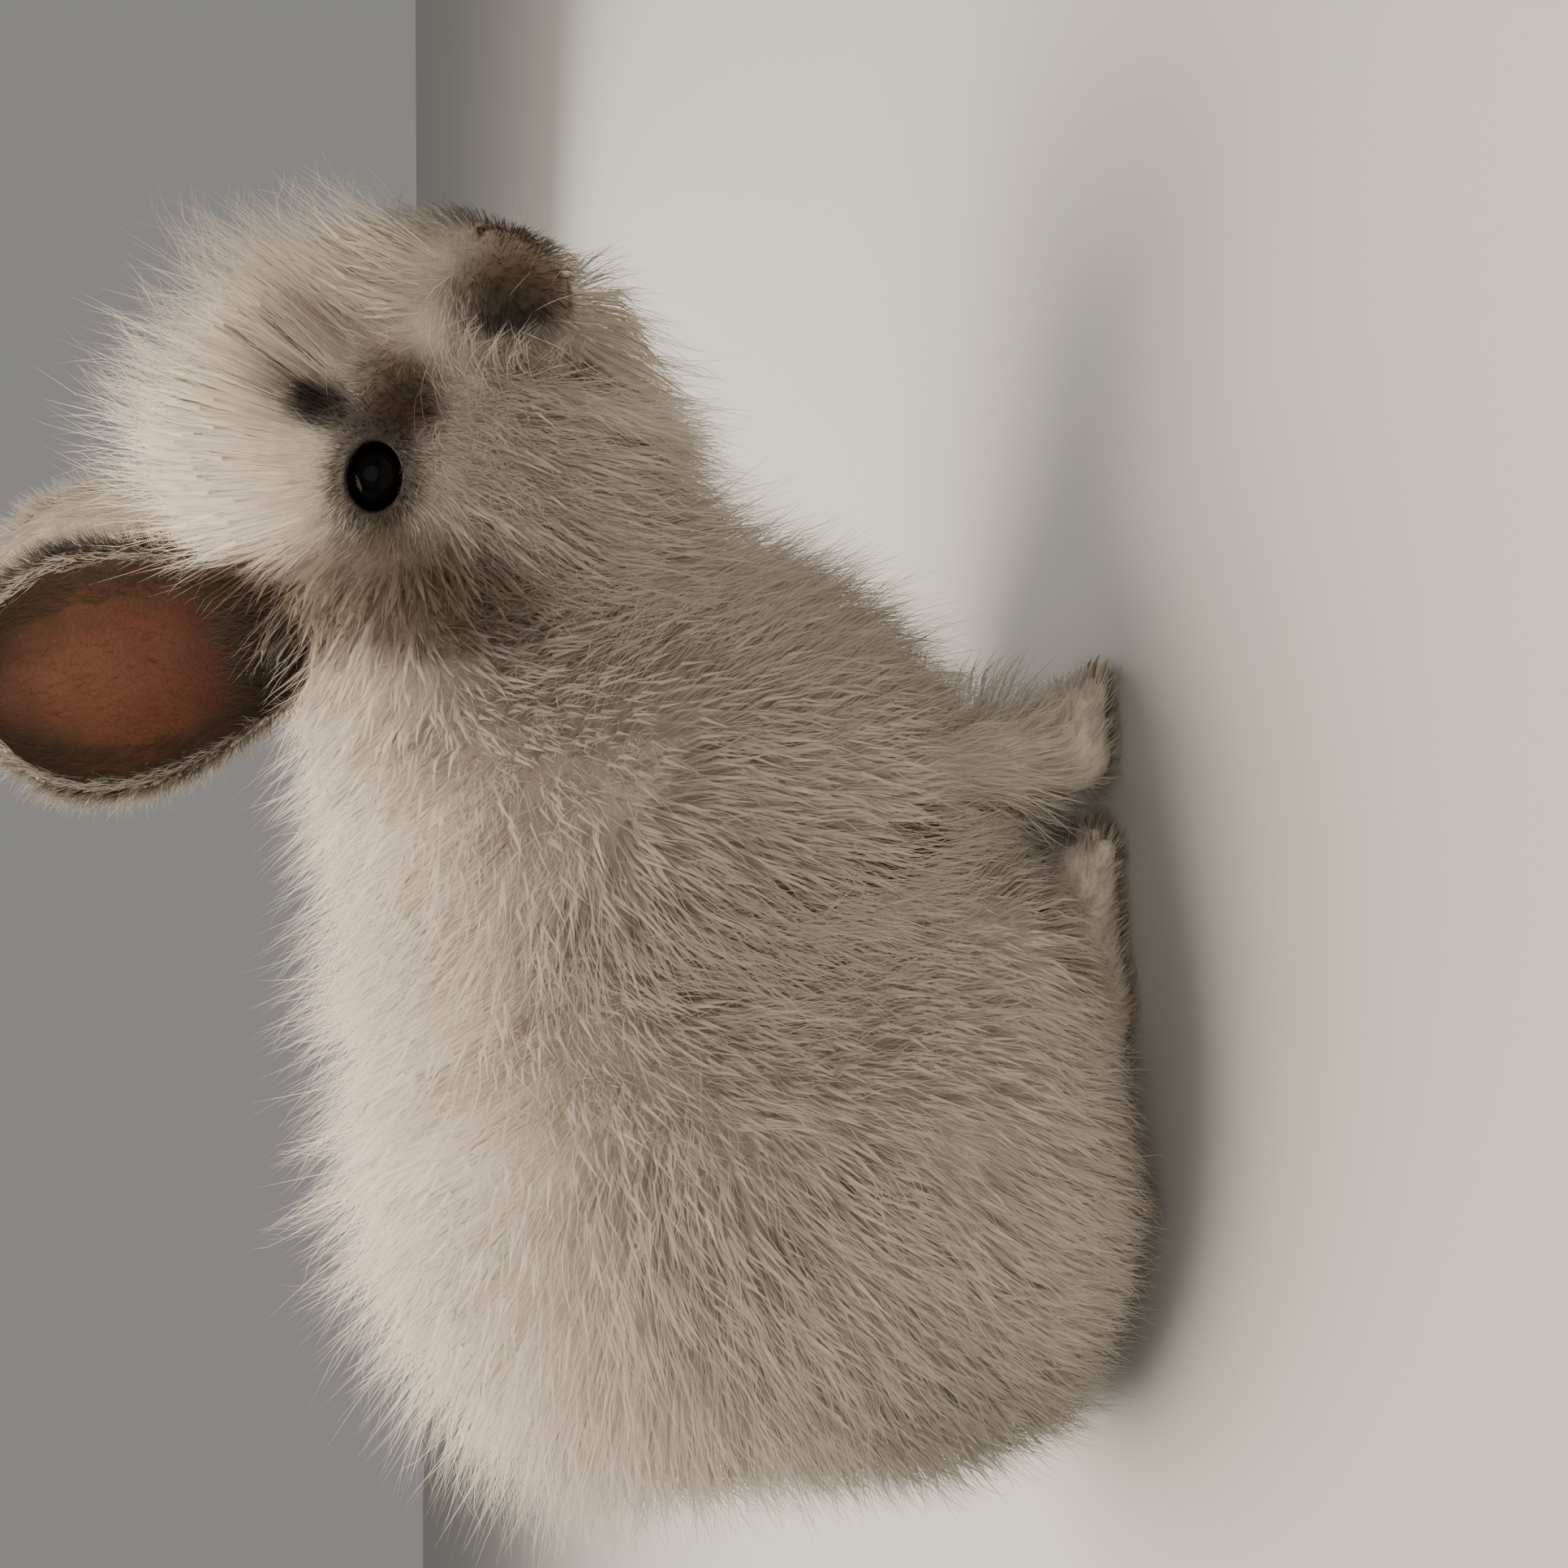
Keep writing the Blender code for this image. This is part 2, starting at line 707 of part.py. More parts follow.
def make_locks(points):
    """All the locks of the coat, rooted in the cores at evenly spread points."""
    depth = coat(points)[0]
    clear = depth > SHORT_COAT * MM
    for side in (-1, 1):
        root = np.array(HEAD @ (Vector((EAR_ROOT[0], side * EAR_ROOT[1], EAR_ROOT[2])) * MM))
        clear &= np.linalg.norm(points - root, axis=1) > 19 * MM
    points = points[clear]
    points = points[even_seeds(points, LOCK_SPACING * lock_width(points, depth[clear]))]
    depth, lift, lie = coat(points)
    rng = np.random.default_rng(SEED)
    normal = unit(gradient(body_flesh, points))
    lie = unit(lie - (lie * normal).sum(1)[:, None] * normal)
    turn = rng.normal(0, 0.2, len(points))[:, None]
    lie = lie * np.cos(turn) + np.cross(normal, lie) * np.sin(turn)
    width = lock_width(points, depth) * rng.uniform(0.92, 1.12, len(points))
    reach = width * (2.2 - 1.6 * lift) * rng.uniform(0.88, 1.18, len(points))
    peak = rng.uniform(*LOCK_PEAK, len(points))
    start = CORE_SHARE - LOCK_SINK * MM / depth
    centres = []
    for share in (0.0, 0.4, 0.76, 1.0):
        level = start + (peak - start) * (1 - (1 - share) ** 1.5)
        along = points + lie * (reach * (share**1.25 - 0.12))[:, None]
        along = along + normal * (level * depth - CORE_SHARE * depth)[:, None]
        centres.append(level_point(along, level))
    centres = np.stack(centres, 1)
    rise = np.stack([unit(gradient(body_flesh, centres[:, i])) for i in range(4)], 1)
    course = unit(np.gradient(centres, axis=1))
    across = unit(np.cross(rise, course))
    rise = unit(np.cross(course, across))
    taper = np.array([0.75, 1.0, 0.66, 0.0])
    locks = []
    for i in range(len(points)):
        half = width[i] / 2 * taper
        high = width[i] * 0.26 * np.array([1.2, 1.0, 0.66, 0.0])
        locks.append(Lock(centres[i], across[i], rise[i], half, high))
    return locks


def in_region(locks, inside, outside):
    """The locks that touch a node's own region."""
    found = []
    for lock in locks:
        near = np.full(len(lock.corners), True)
        for region in inside:
            near &= region.depth(lock.corners) < 2 * MM
        for region in outside:
            near &= region.depth(lock.corners) > -2 * MM
        if near.any():
            found.append(lock)
    return found


HEAD_BACK = HEAD @ (Vector((-47, 0, 5)) * MM) / MM
HEAD_REGION = Shingle(HEAD_BACK, HEAD.to_3x3() @ Vector((-0.855, 0, -0.526)), 9)
NECK_REGION = Shingle((12, -2, 140), (-0.80, 0.12, -0.58), 9)
THIGH_L = Patch((-90, 62, 46), (50, 36, 56))
THIGH_R = Patch((-90, -62, 46), (50, 36, 56))
TAIL_REGION = Patch((-184, 0, 58), (34, 23, 29))


def coated(name, core, locks, inside, outside):
    """One node of the body: the core and its locks, kept inside its own region and out of the others'."""
    node = copied(core)
    node.name = name
    node = combined(node, [lock.solid() for lock in in_region(locks, inside, outside)], "UNION")
    for region in inside:
        node = combined(node, [region.solid()], "INTERSECT")
    cutters = [region.solid(GAP) for region in outside]
    cutters.append(box("floor", (-300, -200, -60), (300, 200, FLOOR_CLEAR / MM)))
    return combined(node, cutters, "DIFFERENCE")


def foot_solid(name, field, low, high, toes):
    """A foot or foreleg with its claw tips, standing flat on the floor."""
    node = modelled(name, field, low, high, 2.0, LEG_FACES)
    tips = [claw((x + 7.5, y, 1.8)) for _, (x, y, _) in toes]
    node = combined(node, tips, "UNION")
    return combined(node, [box("floor", (-300, -200, -60), (300, 200, 0))], "DIFFERENCE")


def claw(tip):
    """A short pointed claw that ends at this place."""
    x, y, z = tip
    corners = [(x - 9, y - 1.3, z + 3.2), (x - 9, y + 1.3, z + 3.2), (x - 9, y, z + 0.8), (x, y, z)]
    faces = [(0, 1, 2), (0, 3, 1), (1, 3, 2), (2, 3, 0)]
    return reshaped(new_object("claw", np.multiply(corners, MM), faces), outward)


def mirror_of(thing, name):
    twin = copied(thing)
    twin.name = name
    placed(twin, Matrix.Scale(-1, 4, (0, 1, 0)))
    return reshaped(twin, outward)


def ear_solid(name, side):
    """A cupped ear: a curved wall of even thickness with a solid root; side is 1 for the left."""
    root = Vector((EAR_ROOT[0], side * EAR_ROOT[1], EAR_ROOT[2]))
    axis = Vector((-EAR_LEAN_BACK[side], side * EAR_SPREAD, 0.96)).normalized()
    opening = Vector((EAR_OPENING[0], side * EAR_OPENING[1], 0))
    opening = (opening - axis * opening.dot(axis)).normalized()
    width = axis.cross(opening)
    rows, columns = 8, 6
    outer, inner = [], []
    for i in range(rows + 1):
        t = 0.06 + 0.94 * (i / rows) ** 0.9
        swell = math.sin(math.pi / 2 * min(t / 0.55, 1)) ** 0.8
        taper = math.sqrt(max(1 - max((t - 0.55) / 0.45, 0) ** 2.2, 0.0))
        arc = EAR_ARC * (0.62 + 0.38 * swell) * max(taper, 0.16)
        bend = 1.35 + 2.3 * (1 - t) ** 2
        radius = arc / bend
        back = root + axis * (EAR_LENGTH * t) - opening * (9 * (1 - t) ** 1.5 + 5 * t * t)
        for j in range(columns + 1):
            angle = bend * (j / columns - 0.5)
            toward = opening * math.cos(angle) - width * math.sin(angle)
            point = back + opening * radius - toward * radius
            wall = EAR_WALL / 2 * (1 - 0.35 * t)
            outer.append(point - toward * wall)
            inner.append(point + toward * wall)
    corners = outer + inner
    shift = len(outer)
    stride = columns + 1
    faces = []
    for i in range(rows):
        for j in range(columns):
            a = i * stride + j
            faces += [(a, a + 1, a + stride + 1), (a, a + stride + 1, a + stride)]
            b = a + shift
            faces += [(b, b + stride + 1, b + 1), (b, b + stride, b + stride + 1)]
    edge = list(range(stride))
    edge += [i * stride + columns for i in range(1, rows + 1)]
    edge += [rows * stride + j for j in reversed(range(columns))]
    edge += [i * stride for i in reversed(range(1, rows))]
    for a, b in zip(edge, edge[1:] + edge[:1]):
        faces.append((a, b, b + shift, a + shift))
    ear = new_object(name, np.array([HEAD @ (v * MM) for v in corners]), faces)
    reshaped(ear, outward)
    plug = ball("plug", (0, 0, 0), (12, 12, 15), 4)
    placed(plug, HEAD @ Matrix.Translation((root + axis * 3) * MM))
    return combined(ear, [plug], "UNION")


def eye_solid(name, side, by=0.0):
    eye = ball(name, (0, 0, 0), (EYE_RADIUS,) * 3, 7, by)
    place = Vector((EYE_PLACE[0], side * EYE_PLACE[1], EYE_PLACE[2])) * MM
    return placed(eye, HEAD @ Matrix.Translation(place))


def eye_frame(side):
    """Carries +Z of a frame at the eye's centre to the way the eye looks."""
    place = Vector((EYE_PLACE[0], side * EYE_PLACE[1], EYE_PLACE[2])) * MM
    look = Vector((0.16, side, 0.10)).normalized()
    turn = look.to_track_quat("Z", "Y").to_matrix().to_4x4()
    return HEAD @ Matrix.Translation(place) @ turn


def tapered(name, low_radii, high_radii, low, high, sides):
    """An elliptical frustum along Z; sizes in millimetres."""
    corners = []
    for radii, z in ((low_radii, low), (high_radii, high)):
        for j in range(sides):
            turn = 2 * math.pi * j / sides
            corners.append((radii[0] * math.cos(turn), radii[1] * math.sin(turn), z))
    faces = [tuple(range(sides)), tuple(reversed(range(sides, 2 * sides)))]
    for j in range(sides):
        k = (j + 1) % sides
        faces.append((j, j + sides, k + sides, k))
    return reshaped(new_object(name, np.multiply(corners, MM), faces), outward)


def groove(name, path, depth, height):
    """A pointed blade along a path of places and inward directions, all in the head's frame."""
    corners = []
    for place, inward, up in path:
        out = place - inward * 1.5
        deep = place + inward * depth
        corners += [out + up * height, deep, out - up * height]
    faces = [(0, 1, 2)]
    last = 3 * (len(path) - 1)
    for i in range(len(path) - 1):
        for j in range(3):
            a = 3 * i + j
            b = 3 * i + (j + 1) % 3
            faces.append((a, b, b + 3, a + 3))
    faces.append((last, last + 2, last + 1))
    blade = new_object(name, np.array([HEAD @ (v * MM) for v in corners]), faces)
    return reshaped(blade, outward)


def on_head(place, way):
    """The core's surface reached from a place in the head's frame along a direction."""
    steps = np.arange(0, 40, 0.25)
    points = np.array([HEAD @ ((place + way * s) * MM) for s in steps])
    beyond = np.nonzero(head_core(points) > 0)[0]
    return place + way * steps[beyond[0]]


def head_core(p):
    """The head's core with lids, lips and the hollows before the eyes."""
    q = mirrored(in_head(p))
    whole = body_flesh(p) - CORE_SHARE * coat(p)[0]
    lids = ellipsoid(q, (0.4, 20.4, 0.2), (12.2, 11.2, 11.0))
    lower_lip = ellipsoid(q, (43, 0, -42), (8, 7, 5))
    whole = blend(whole, lids, 4)
    return blend(whole, lower_lip, 4)


def head_cutters():
    """Mouth line, lip cleft, nostrils and the openings between the lids."""
    up = Vector((0, 0, 1))
    path = []
    for i in range(11):
        angle = math.radians(-78 + 15.6 * i)
        way = Vector((math.cos(angle), math.sin(angle), 0))
        start = Vector((36, 0, -38.5 - 2.5 * (angle / 1.36) ** 2))
        path.append((on_head(start, way), -way, up))
    cutters = [groove("mouth", path, 3.5, 1.1)]
    cleft = []
    for z in (-21, -26, -31, -36):
        cleft.append((on_head(Vector((36, 0, z)), Vector((1, 0, 0))), Vector((-1, 0, 0)), Vector((0, 1, 0))))
    cutters.append(groove("cleft", cleft, 2.4, 0.9))
    for side in (-1, 1):
        place = on_head(Vector((36, side * 5.5, -17.5)), Vector((1, side * 0.12, 0)))
        pit = ball("nostril", (0, 0, 0), (4.5, 3.6, 1.5), 6)
        turn = Euler((side * math.radians(-32), 0, side * math.radians(24))).to_matrix().to_4x4()
        cutters.append(placed(pit, HEAD @ Matrix.Translation(place * MM) @ turn))
        opening = tapered("lids", (8.3, 6.7), (11.2, 9.6), 2.5, 22, 20)
        cutters.append(placed(opening, eye_frame(side)))
    return cutters


COLOURS = {
    "torso": (0.80, 0.77, 0.72),
    "neck": (0.80, 0.77, 0.71),
    "head": (0.78, 0.74, 0.68),
    "tail": (0.76, 0.74, 0.70),
    "ear": (0.62, 0.47, 0.38),
    "eye": (0.01, 0.008, 0.007),
    "foreleg": (0.74, 0.70, 0.62),
    "hind_leg": (0.76, 0.72, 0.66),
}


def coloured(thing):
    kind = thing.name.removesuffix("_L").removesuffix("_R")
    material = bpy.data.materials.new(thing.name)
    material.use_nodes = True
    shader = material.node_tree.nodes["Principled BSDF"]
    shader.inputs["Base Color"].default_value = (*COLOURS[kind], 1)
    shader.inputs["Roughness"].default_value = 0.12 if kind == "eye" else 0.85
    thing.data.materials.clear()
    thing.data.materials.append(material)


def build():
    for thing in list(bpy.data.objects):
        bpy.data.objects.remove(thing)

    foreleg_l = foot_solid("foreleg_L", foreleg_flesh, (-30, 8, -8), (46, 60, 92), foreleg_toes())
    foot_l = foot_solid("foot_L", hind_foot_flesh, (-134, 14, -8), (8, 64, 42), hind_toes())
    foreleg_r = mirror_of(foreleg_l, "foreleg_R")
    foot_r = mirror_of(foot_l, "foot_R")
    ears = [ear_solid("ear_L", 1), ear_solid("ear_R", -1)]
    eyes = [eye_solid("eye_L", 1), eye_solid("eye_R", -1)]

    def body_core(p):
        whole = blend(body_flesh(p), tail_flesh(p), 12)
        return np.maximum(whole - CORE_SHARE * coat(p)[0], FLOOR_CLEAR - p[:, 2])

    corners, quads = surface(body_core, np.array((-230, -120, -4)) * MM, np.array((165, 120, 275)) * MM, 4.2 * MM)
    core = reshaped(new_object("core", corners, quads), outward)
    decimated(core, CORE_FACES)
    face = modelled("face", head_core, (0, -105, 100), (170, 70, 275), 2.6, HEAD_FACES)
    locks = make_locks(corners)

    legs = [foreleg_l, foreleg_r, foot_l, foot_r]
    head = coated("head", face, locks, [HEAD_REGION, NECK_REGION], [])
    head = combined(head, [hull_of(ear, GAP) for ear in ears], "DIFFERENCE")
    head = combined(head, head_cutters(), "DIFFERENCE")
    head = combined(head, [eye_solid("socket", side, GAP * 1.1) for side in (-1, 1)], "DIFFERENCE")
    neck = coated("neck", core, locks, [NECK_REGION], [HEAD_REGION])
    neck = combined(neck, [hull_of(ear, GAP) for ear in ears], "DIFFERENCE")
    torso = coated("torso", core, locks, [], [NECK_REGION, THIGH_L, THIGH_R, TAIL_REGION])
    torso = combined(torso, [grown(leg, GAP * 1.1) for leg in legs], "DIFFERENCE")
    tail = coated("tail", core, locks, [TAIL_REGION], [])
    nodes = [head, neck, torso, tail, foreleg_l, foreleg_r] + ears + eyes
    for name, region, foot in (("hind_leg_L", THIGH_L, foot_l), ("hind_leg_R", THIGH_R, foot_r)):
        leg = coated(name, core, locks, [region], [])
        nodes.append(combined(leg, [foot], "UNION"))
    removed([core, face])

    low = np.array([min(v.co[i] for node in nodes for v in node.data.vertices) for i in range(3)])
    high = np.array([max(v.co[i] for node in nodes for v in node.data.vertices) for i in range(3)])
    shift = Vector((-(low[0] + high[0]) / 2, -(low[1] + high[1]) / 2, -low[2]))
    for node in nodes:
        placed(node, Matrix.Translation(shift))
        reshaped(node, keep_largest)
        coloured(node)


build()
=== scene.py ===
import math
from collections import namedtuple

import bmesh
import bpy
import numpy as np
from mathutils import Euler, Matrix, Vector
from mathutils.bvhtree import BVHTree
from mathutils.kdtree import KDTree


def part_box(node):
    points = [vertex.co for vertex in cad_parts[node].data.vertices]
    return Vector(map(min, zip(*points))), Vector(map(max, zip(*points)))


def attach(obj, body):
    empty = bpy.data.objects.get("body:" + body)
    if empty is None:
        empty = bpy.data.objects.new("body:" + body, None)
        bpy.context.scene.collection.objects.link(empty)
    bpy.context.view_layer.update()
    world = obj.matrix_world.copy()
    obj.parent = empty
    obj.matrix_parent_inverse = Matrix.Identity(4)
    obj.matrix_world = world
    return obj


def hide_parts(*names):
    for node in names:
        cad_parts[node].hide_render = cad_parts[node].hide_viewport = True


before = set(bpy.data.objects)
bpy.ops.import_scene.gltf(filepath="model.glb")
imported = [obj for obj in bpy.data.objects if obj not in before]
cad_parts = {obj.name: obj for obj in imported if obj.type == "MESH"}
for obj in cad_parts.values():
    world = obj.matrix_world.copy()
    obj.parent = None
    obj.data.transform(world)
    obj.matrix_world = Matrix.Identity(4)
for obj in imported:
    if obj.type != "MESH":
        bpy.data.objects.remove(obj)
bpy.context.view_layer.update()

MM = 0.001
SEED = 23
SIDES = ((1, "L"), (-1, "R"))

# The head's own frame: X towards the nose, Z up, its origin midway between the eyes. Sizes are in millimetres.
HEAD_PLACE = (83, -21, 193)
HEAD_YAW = math.radians(-33)
HEAD_PITCH = math.radians(8)
EYE_RADIUS = 9.6
EYE_PLACE = (0, 20.0, 0)
EYE_LOOK = (0.16, 1.0, 0.10)
EYE_AT = np.multiply(EYE_PLACE, MM)
# The opening between the lids: its half length, its height above and its depth below.
LIDS = (8.3, 6.2, 6.3)

EAR_LENGTH = 78
EAR_ARC = 66
EAR_WALL = 1.7
EAR_ROOT = (-45, 17, 10)
EAR_LEAN_BACK = {1: 0.26, -1: 0.36}
EAR_SPREAD = 0.10
EAR_OPENING = (0.454, 0.891, 0.0)

HIND_FOOT_HEEL = (-112, 39)
HIND_FOOT_TOE = (-30, 38)
FORELEG_PLACE = (2, 39)
SHORT_FUR = 1.8

# How far from the head's origin the face's fine forms, its fur, its markings and its long hair are looked for.
FACE_REACH = 90
GROOM_REACH = 85
MARKING_REACH = 100
HEAD_HAIR_REACH = 78


def head_matrix():
    """Carries a point of the head's frame into the body's frame."""
    turn = Euler((0, HEAD_PITCH, HEAD_YAW)).to_matrix().to_4x4()
    return Matrix.Translation(Vector(HEAD_PLACE) * MM) @ turn


HEAD = head_matrix()
HEAD_TURN = np.array(HEAD.to_3x3())
HEAD_AT = np.array(HEAD_PLACE) * MM


def in_head(points):
    """Points of the body's frame, in the head's frame."""
    return (points - HEAD_AT) @ HEAD_TURN


def from_head(points):
    return points @ HEAD_TURN.T + HEAD_AT


def near_head(points, reach):
    """Which points are within this many millimetres of the head's origin."""
    return np.linalg.norm(points - HEAD_AT, axis=1) < reach * MM


def row_shift():
    """From the body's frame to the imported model's, found from the left eye's place."""
    low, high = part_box("eye_L")
    return (np.array(low) + np.array(high)) / 2 - np.array(HEAD @ (Vector(EYE_PLACE) * MM))


SHIFT = row_shift()
SHIFT[2] = 0.0


def mirrored(points):
    """Points folded onto the left side, for masses that both sides have."""
    return np.column_stack((points[:, 0], np.abs(points[:, 1]), points[:, 2]))


def ellipsoid(points, centre, radii):
    """Distance to an ellipsoid along the frame's axes; sizes in millimetres."""
    q = points - np.multiply(centre, MM)
    r = np.multiply(radii, MM)
    near = np.sqrt(((q / r) ** 2).sum(1)) + 1e-9
    steep = np.sqrt(((q / r**2) ** 2).sum(1)) + 1e-9
    return near * (near - 1) / steep


def limb(points, start, end, start_radius, end_radius):
    """Distance to a tapered, round-ended limb; sizes in millimetres."""
    a = np.multiply(start, MM)
    along = np.multiply(end, MM) - a
    share = np.clip((points - a) @ along / (along @ along), 0, 1)
    radius = (start_radius + (end_radius - start_radius) * share) * MM
    return np.sqrt(((points - a - share[:, None] * along) ** 2).sum(1)) - radius


def blend(a, b, soft):
    """Smooth union of two distances over soft millimetres."""
    k = soft * MM
    overlap = np.maximum(k - np.abs(a - b), 0) / k
    return np.minimum(a, b) - overlap * overlap * k / 4


def carve(a, b, soft):
    """The first distance with the second body taken out of it, with a rounded edge."""
    return -blend(-a, b, soft)


def blend_all(distances, soft):
    whole = distances[0]
    for other in distances[1:]:
        whole = blend(whole, other, soft)
    return whole


def torso_flesh(p):
    """Rump, arched back, belly, chest, withers and shoulders."""
    rump = ellipsoid(p, (-108, 0, 90), (56, 54, 72))
    back = ellipsoid(p, (-60, 0, 108), (62, 50, 62))
    belly = ellipsoid(p, (-62, 0, 58), (64, 44, 40))
    chest = ellipsoid(p, (-4, 0, 100), (40, 40, 50))
    withers = ellipsoid(p, (-12, 0, 146), (38, 26, 28))
    shoulder = limb(mirrored(p), (-8, 24, 122), (-8, 32, 84), 24, 18)
    seat = ellipsoid(mirrored(p), (-124, 18, 44), (43, 30, 37))
    return blend_all([rump, back, belly, chest, withers, shoulder, seat], 26)


def neck_flesh(p):
    nape = limb(p, (2, 0, 146), (50, -8, 184), 34, 27)
    throat = limb(p, (20, 0, 116), (66, -16, 150), 30, 20)
    return blend(nape, throat, 20)


def head_flesh(p):
    """Cranium, snout, whisker pads, cheeks, brows, jaw and chin."""
    q = mirrored(in_head(p))
    cranium = ellipsoid(q, (-12, 0, 1), (38, 25, 26))
    snout = limb(q, (4, 0, -1), (42, 0, -14), 21, 15)
    muzzle = ellipsoid(q, (44, 0, -23), (14.5, 14, 19))
    cheek = ellipsoid(q, (-5, 14, -24), (26, 13, 21))
    jaw = limb(q, (-12, 0, -28), (36, 0, -41), 17, 8)
    whole = blend_all([cranium, snout, muzzle, cheek, jaw], 14)
    brow = ellipsoid(q, (0, 19, 10.5), (14, 7, 6))
    pad = ellipsoid(q, (45, 8, -27), (11.5, 9.5, 12))
    whole = blend(whole, brow, 6)
    return blend(whole, pad, 6)


def hind_leg_flesh(p):
    """Both thighs and shanks, folded against the body."""
    q = mirrored(p)
    thigh = ellipsoid(q, (-90, 40, 66), (46, 22, 50))
    knee = limb(q, (-92, 42, 60), (-52, 43, 46), 26, 18)
    shank = limb(q, (-52, 42, 40), (-106, 41, 24), 15, 11)
    return blend_all([thigh, knee, shank], 14)


def body_flesh(p):
    """The body without feet, forelegs, ears and tail."""
    body = blend(torso_flesh(p), neck_flesh(p), 24)
    body = blend(body, hind_leg_flesh(p), 18)
    return blend(body, head_flesh(p), 12)


def foreleg_toes():
    """Start and end of each of the left forepaw's toes."""
    x, y = FORELEG_PLACE
    toes = []
    for i in range(4):
        side = (i - 1.5) * 4.6
        reach = 21 - 1.2 * abs(i - 1.6) ** 2
        toes.append(((x + 8, y + side * 0.8, 8), (x + reach, y + side, 5)))
    return toes


def hind_toes():
    """Start and end of each of the left hind foot's toes."""
    x, y = HIND_FOOT_TOE
    toes = []
    for i in range(4):
        side = (i - 1.5) * 5.6
        reach = 12 - 1.5 * abs(i - 1.3) ** 2
        toes.append(((x - 6, y + side * 0.8, 9), (x + reach, y + side, 6)))
    return toes


def foreleg_flesh(p):
    """The left foreleg with its short fur: upper arm, forearm, wrist and four toes."""
    x, y = FORELEG_PLACE
    arm = limb(p, (x - 5, y - 3, 58), (x - 1, y, 34), 14, 11.5)
    wrist = limb(p, (x - 1, y, 34), (x + 3, y, 12), 11.5, 10.5)
    palm = limb(p, (x + 2, y, 10), (x + 12, y, 9), 10.8, 9.8)
    leg = blend_all([arm, wrist, palm], 8)
    for start, end in foreleg_toes():
        leg = blend(leg, limb(p, start, end, 4.8, 4), 2.2)
    return leg


def hind_foot_flesh(p):
    """The left hind foot with its short fur, long and flat, with hock and four toes."""
    (heel_x, heel_y), (toe_x, toe_y) = HIND_FOOT_HEEL, HIND_FOOT_TOE
    hock = limb(p, (heel_x, heel_y, 12), (heel_x + 8, heel_y, 20), 11, 11)
    sole = limb(p, (heel_x, heel_y, 9), (heel_x + 50, 38, 10), 9.5, 12)
    arch = limb(p, (heel_x + 50, 38, 10), (toe_x, toe_y, 9), 12, 11.5)
    foot = blend_all([hock, sole, arch], 10)
    for start, end in hind_toes():
        foot = blend(foot, limb(p, start, end, 6, 4.8), 2.4)
    return foot


def tail_flesh(p):
    return limb(p, (-148, 0, 52), (-158, 0, 60), 12, 11)


def feet_flesh(p):
    """All four feet and forelegs, with their short fur."""
    q = mirrored(p)
    return np.minimum(foreleg_flesh(q), hind_foot_flesh(q))


# The ears are curved sheets. A place on one is its share of the ear's length and its share across it.


def ear_frame(side):
    """The ear's root, its axis, the way its cup opens and the way across."""
    root = np.array((EAR_ROOT[0], side * EAR_ROOT[1], EAR_ROOT[2]), float)
    axis = Vector((-EAR_LEAN_BACK[side], side * EAR_SPREAD, 0.96)).normalized()
    opening = Vector((EAR_OPENING[0], side * EAR_OPENING[1], 0))
    opening = (opening - axis * opening.dot(axis)).normalized()
    return root, np.array(axis), np.array(opening), np.array(axis.cross(opening))


def ear_sheet(side, t, across):
    """Places and inward normals of an ear's middle sheet, in the body's frame, in metres."""
    root, axis, opening, width = ear_frame(side)
    t = np.asarray(t, float)
    swell = np.sin(math.pi / 2 * np.minimum(t / 0.55, 1)) ** 0.8
    taper = np.sqrt(np.maximum(1 - np.maximum((t - 0.55) / 0.45, 0) ** 2.2, 0))
    arc = EAR_ARC * (0.62 + 0.38 * swell) * np.maximum(taper, 0.10)
    bend = 1.35 + 2.3 * (1 - t) ** 2
    radius = arc / bend
    angle = bend * across
    toward = np.cos(angle)[:, None] * opening - np.sin(angle)[:, None] * width
    back = root + axis * (EAR_LENGTH * t)[:, None]
    back = back - opening * (9 * (1 - t) ** 1.5 + 5 * t * t)[:, None]
    place = back + (opening - toward) * radius[:, None]
    return from_head(place * MM), toward @ HEAD_TURN.T


def ear_grid(side, rows, columns):
    t = np.repeat(np.linspace(0.03, 1, rows), columns)
    across = np.tile(np.linspace(-0.5, 0.5, columns), rows)
    place, inward = ear_sheet(side, t, across)
    return t, across, place, inward


EARS = {side: ear_grid(side, 200, 170) for side in (-1, 1)}


def tree_of(points):
    tree = KDTree(len(points))
    for i, point in enumerate(points.tolist()):
        tree.insert(point, i)
    tree.balance()
    return tree


def nearest(tree, points):
    """For each point, the number of the tree's nearest point and how far it is."""
    found = [tree.find(point)[1:] for point in points.tolist()]
    return np.array(found).T if found else np.zeros((2, 0))


def nearest_few(tree, points, number):
    """For each point, the numbers of the tree's nearest points and their distances."""
    found = [[hit[1:] for hit in tree.find_n(point, number)] for point in points.tolist()]
    found = np.array(found)
    return found[..., 0].astype(int), found[..., 1]


EAR_TREES = {side: tree_of(EARS[side][2]) for side in (-1, 1)}


def ear_distance(p):
    """Distance to the walls of both ears, which is only exact near them."""
    far = np.full(len(p), 30 * MM)
    for side in (-1, 1):
        place = EARS[side][2]
        room = 5 * MM
        close = ((p > place.min(0) - room) & (p < place.max(0) + room)).all(1)
        _, off = nearest(EAR_TREES[side], p[close])
        far[close] = np.minimum(far[close], off - EAR_WALL / 2 * MM)
    return far


# The face's fine forms, in the head's frame.


def eye_axes():
    """The way the left eye looks, and the ways along and across its opening."""
    look = np.array(EYE_LOOK) / np.linalg.norm(EYE_LOOK)
    along = np.cross(look, (0, 0, 1.0))
    along /= np.linalg.norm(along)
    tilt = np.cross(along, look)
    return look, along, tilt


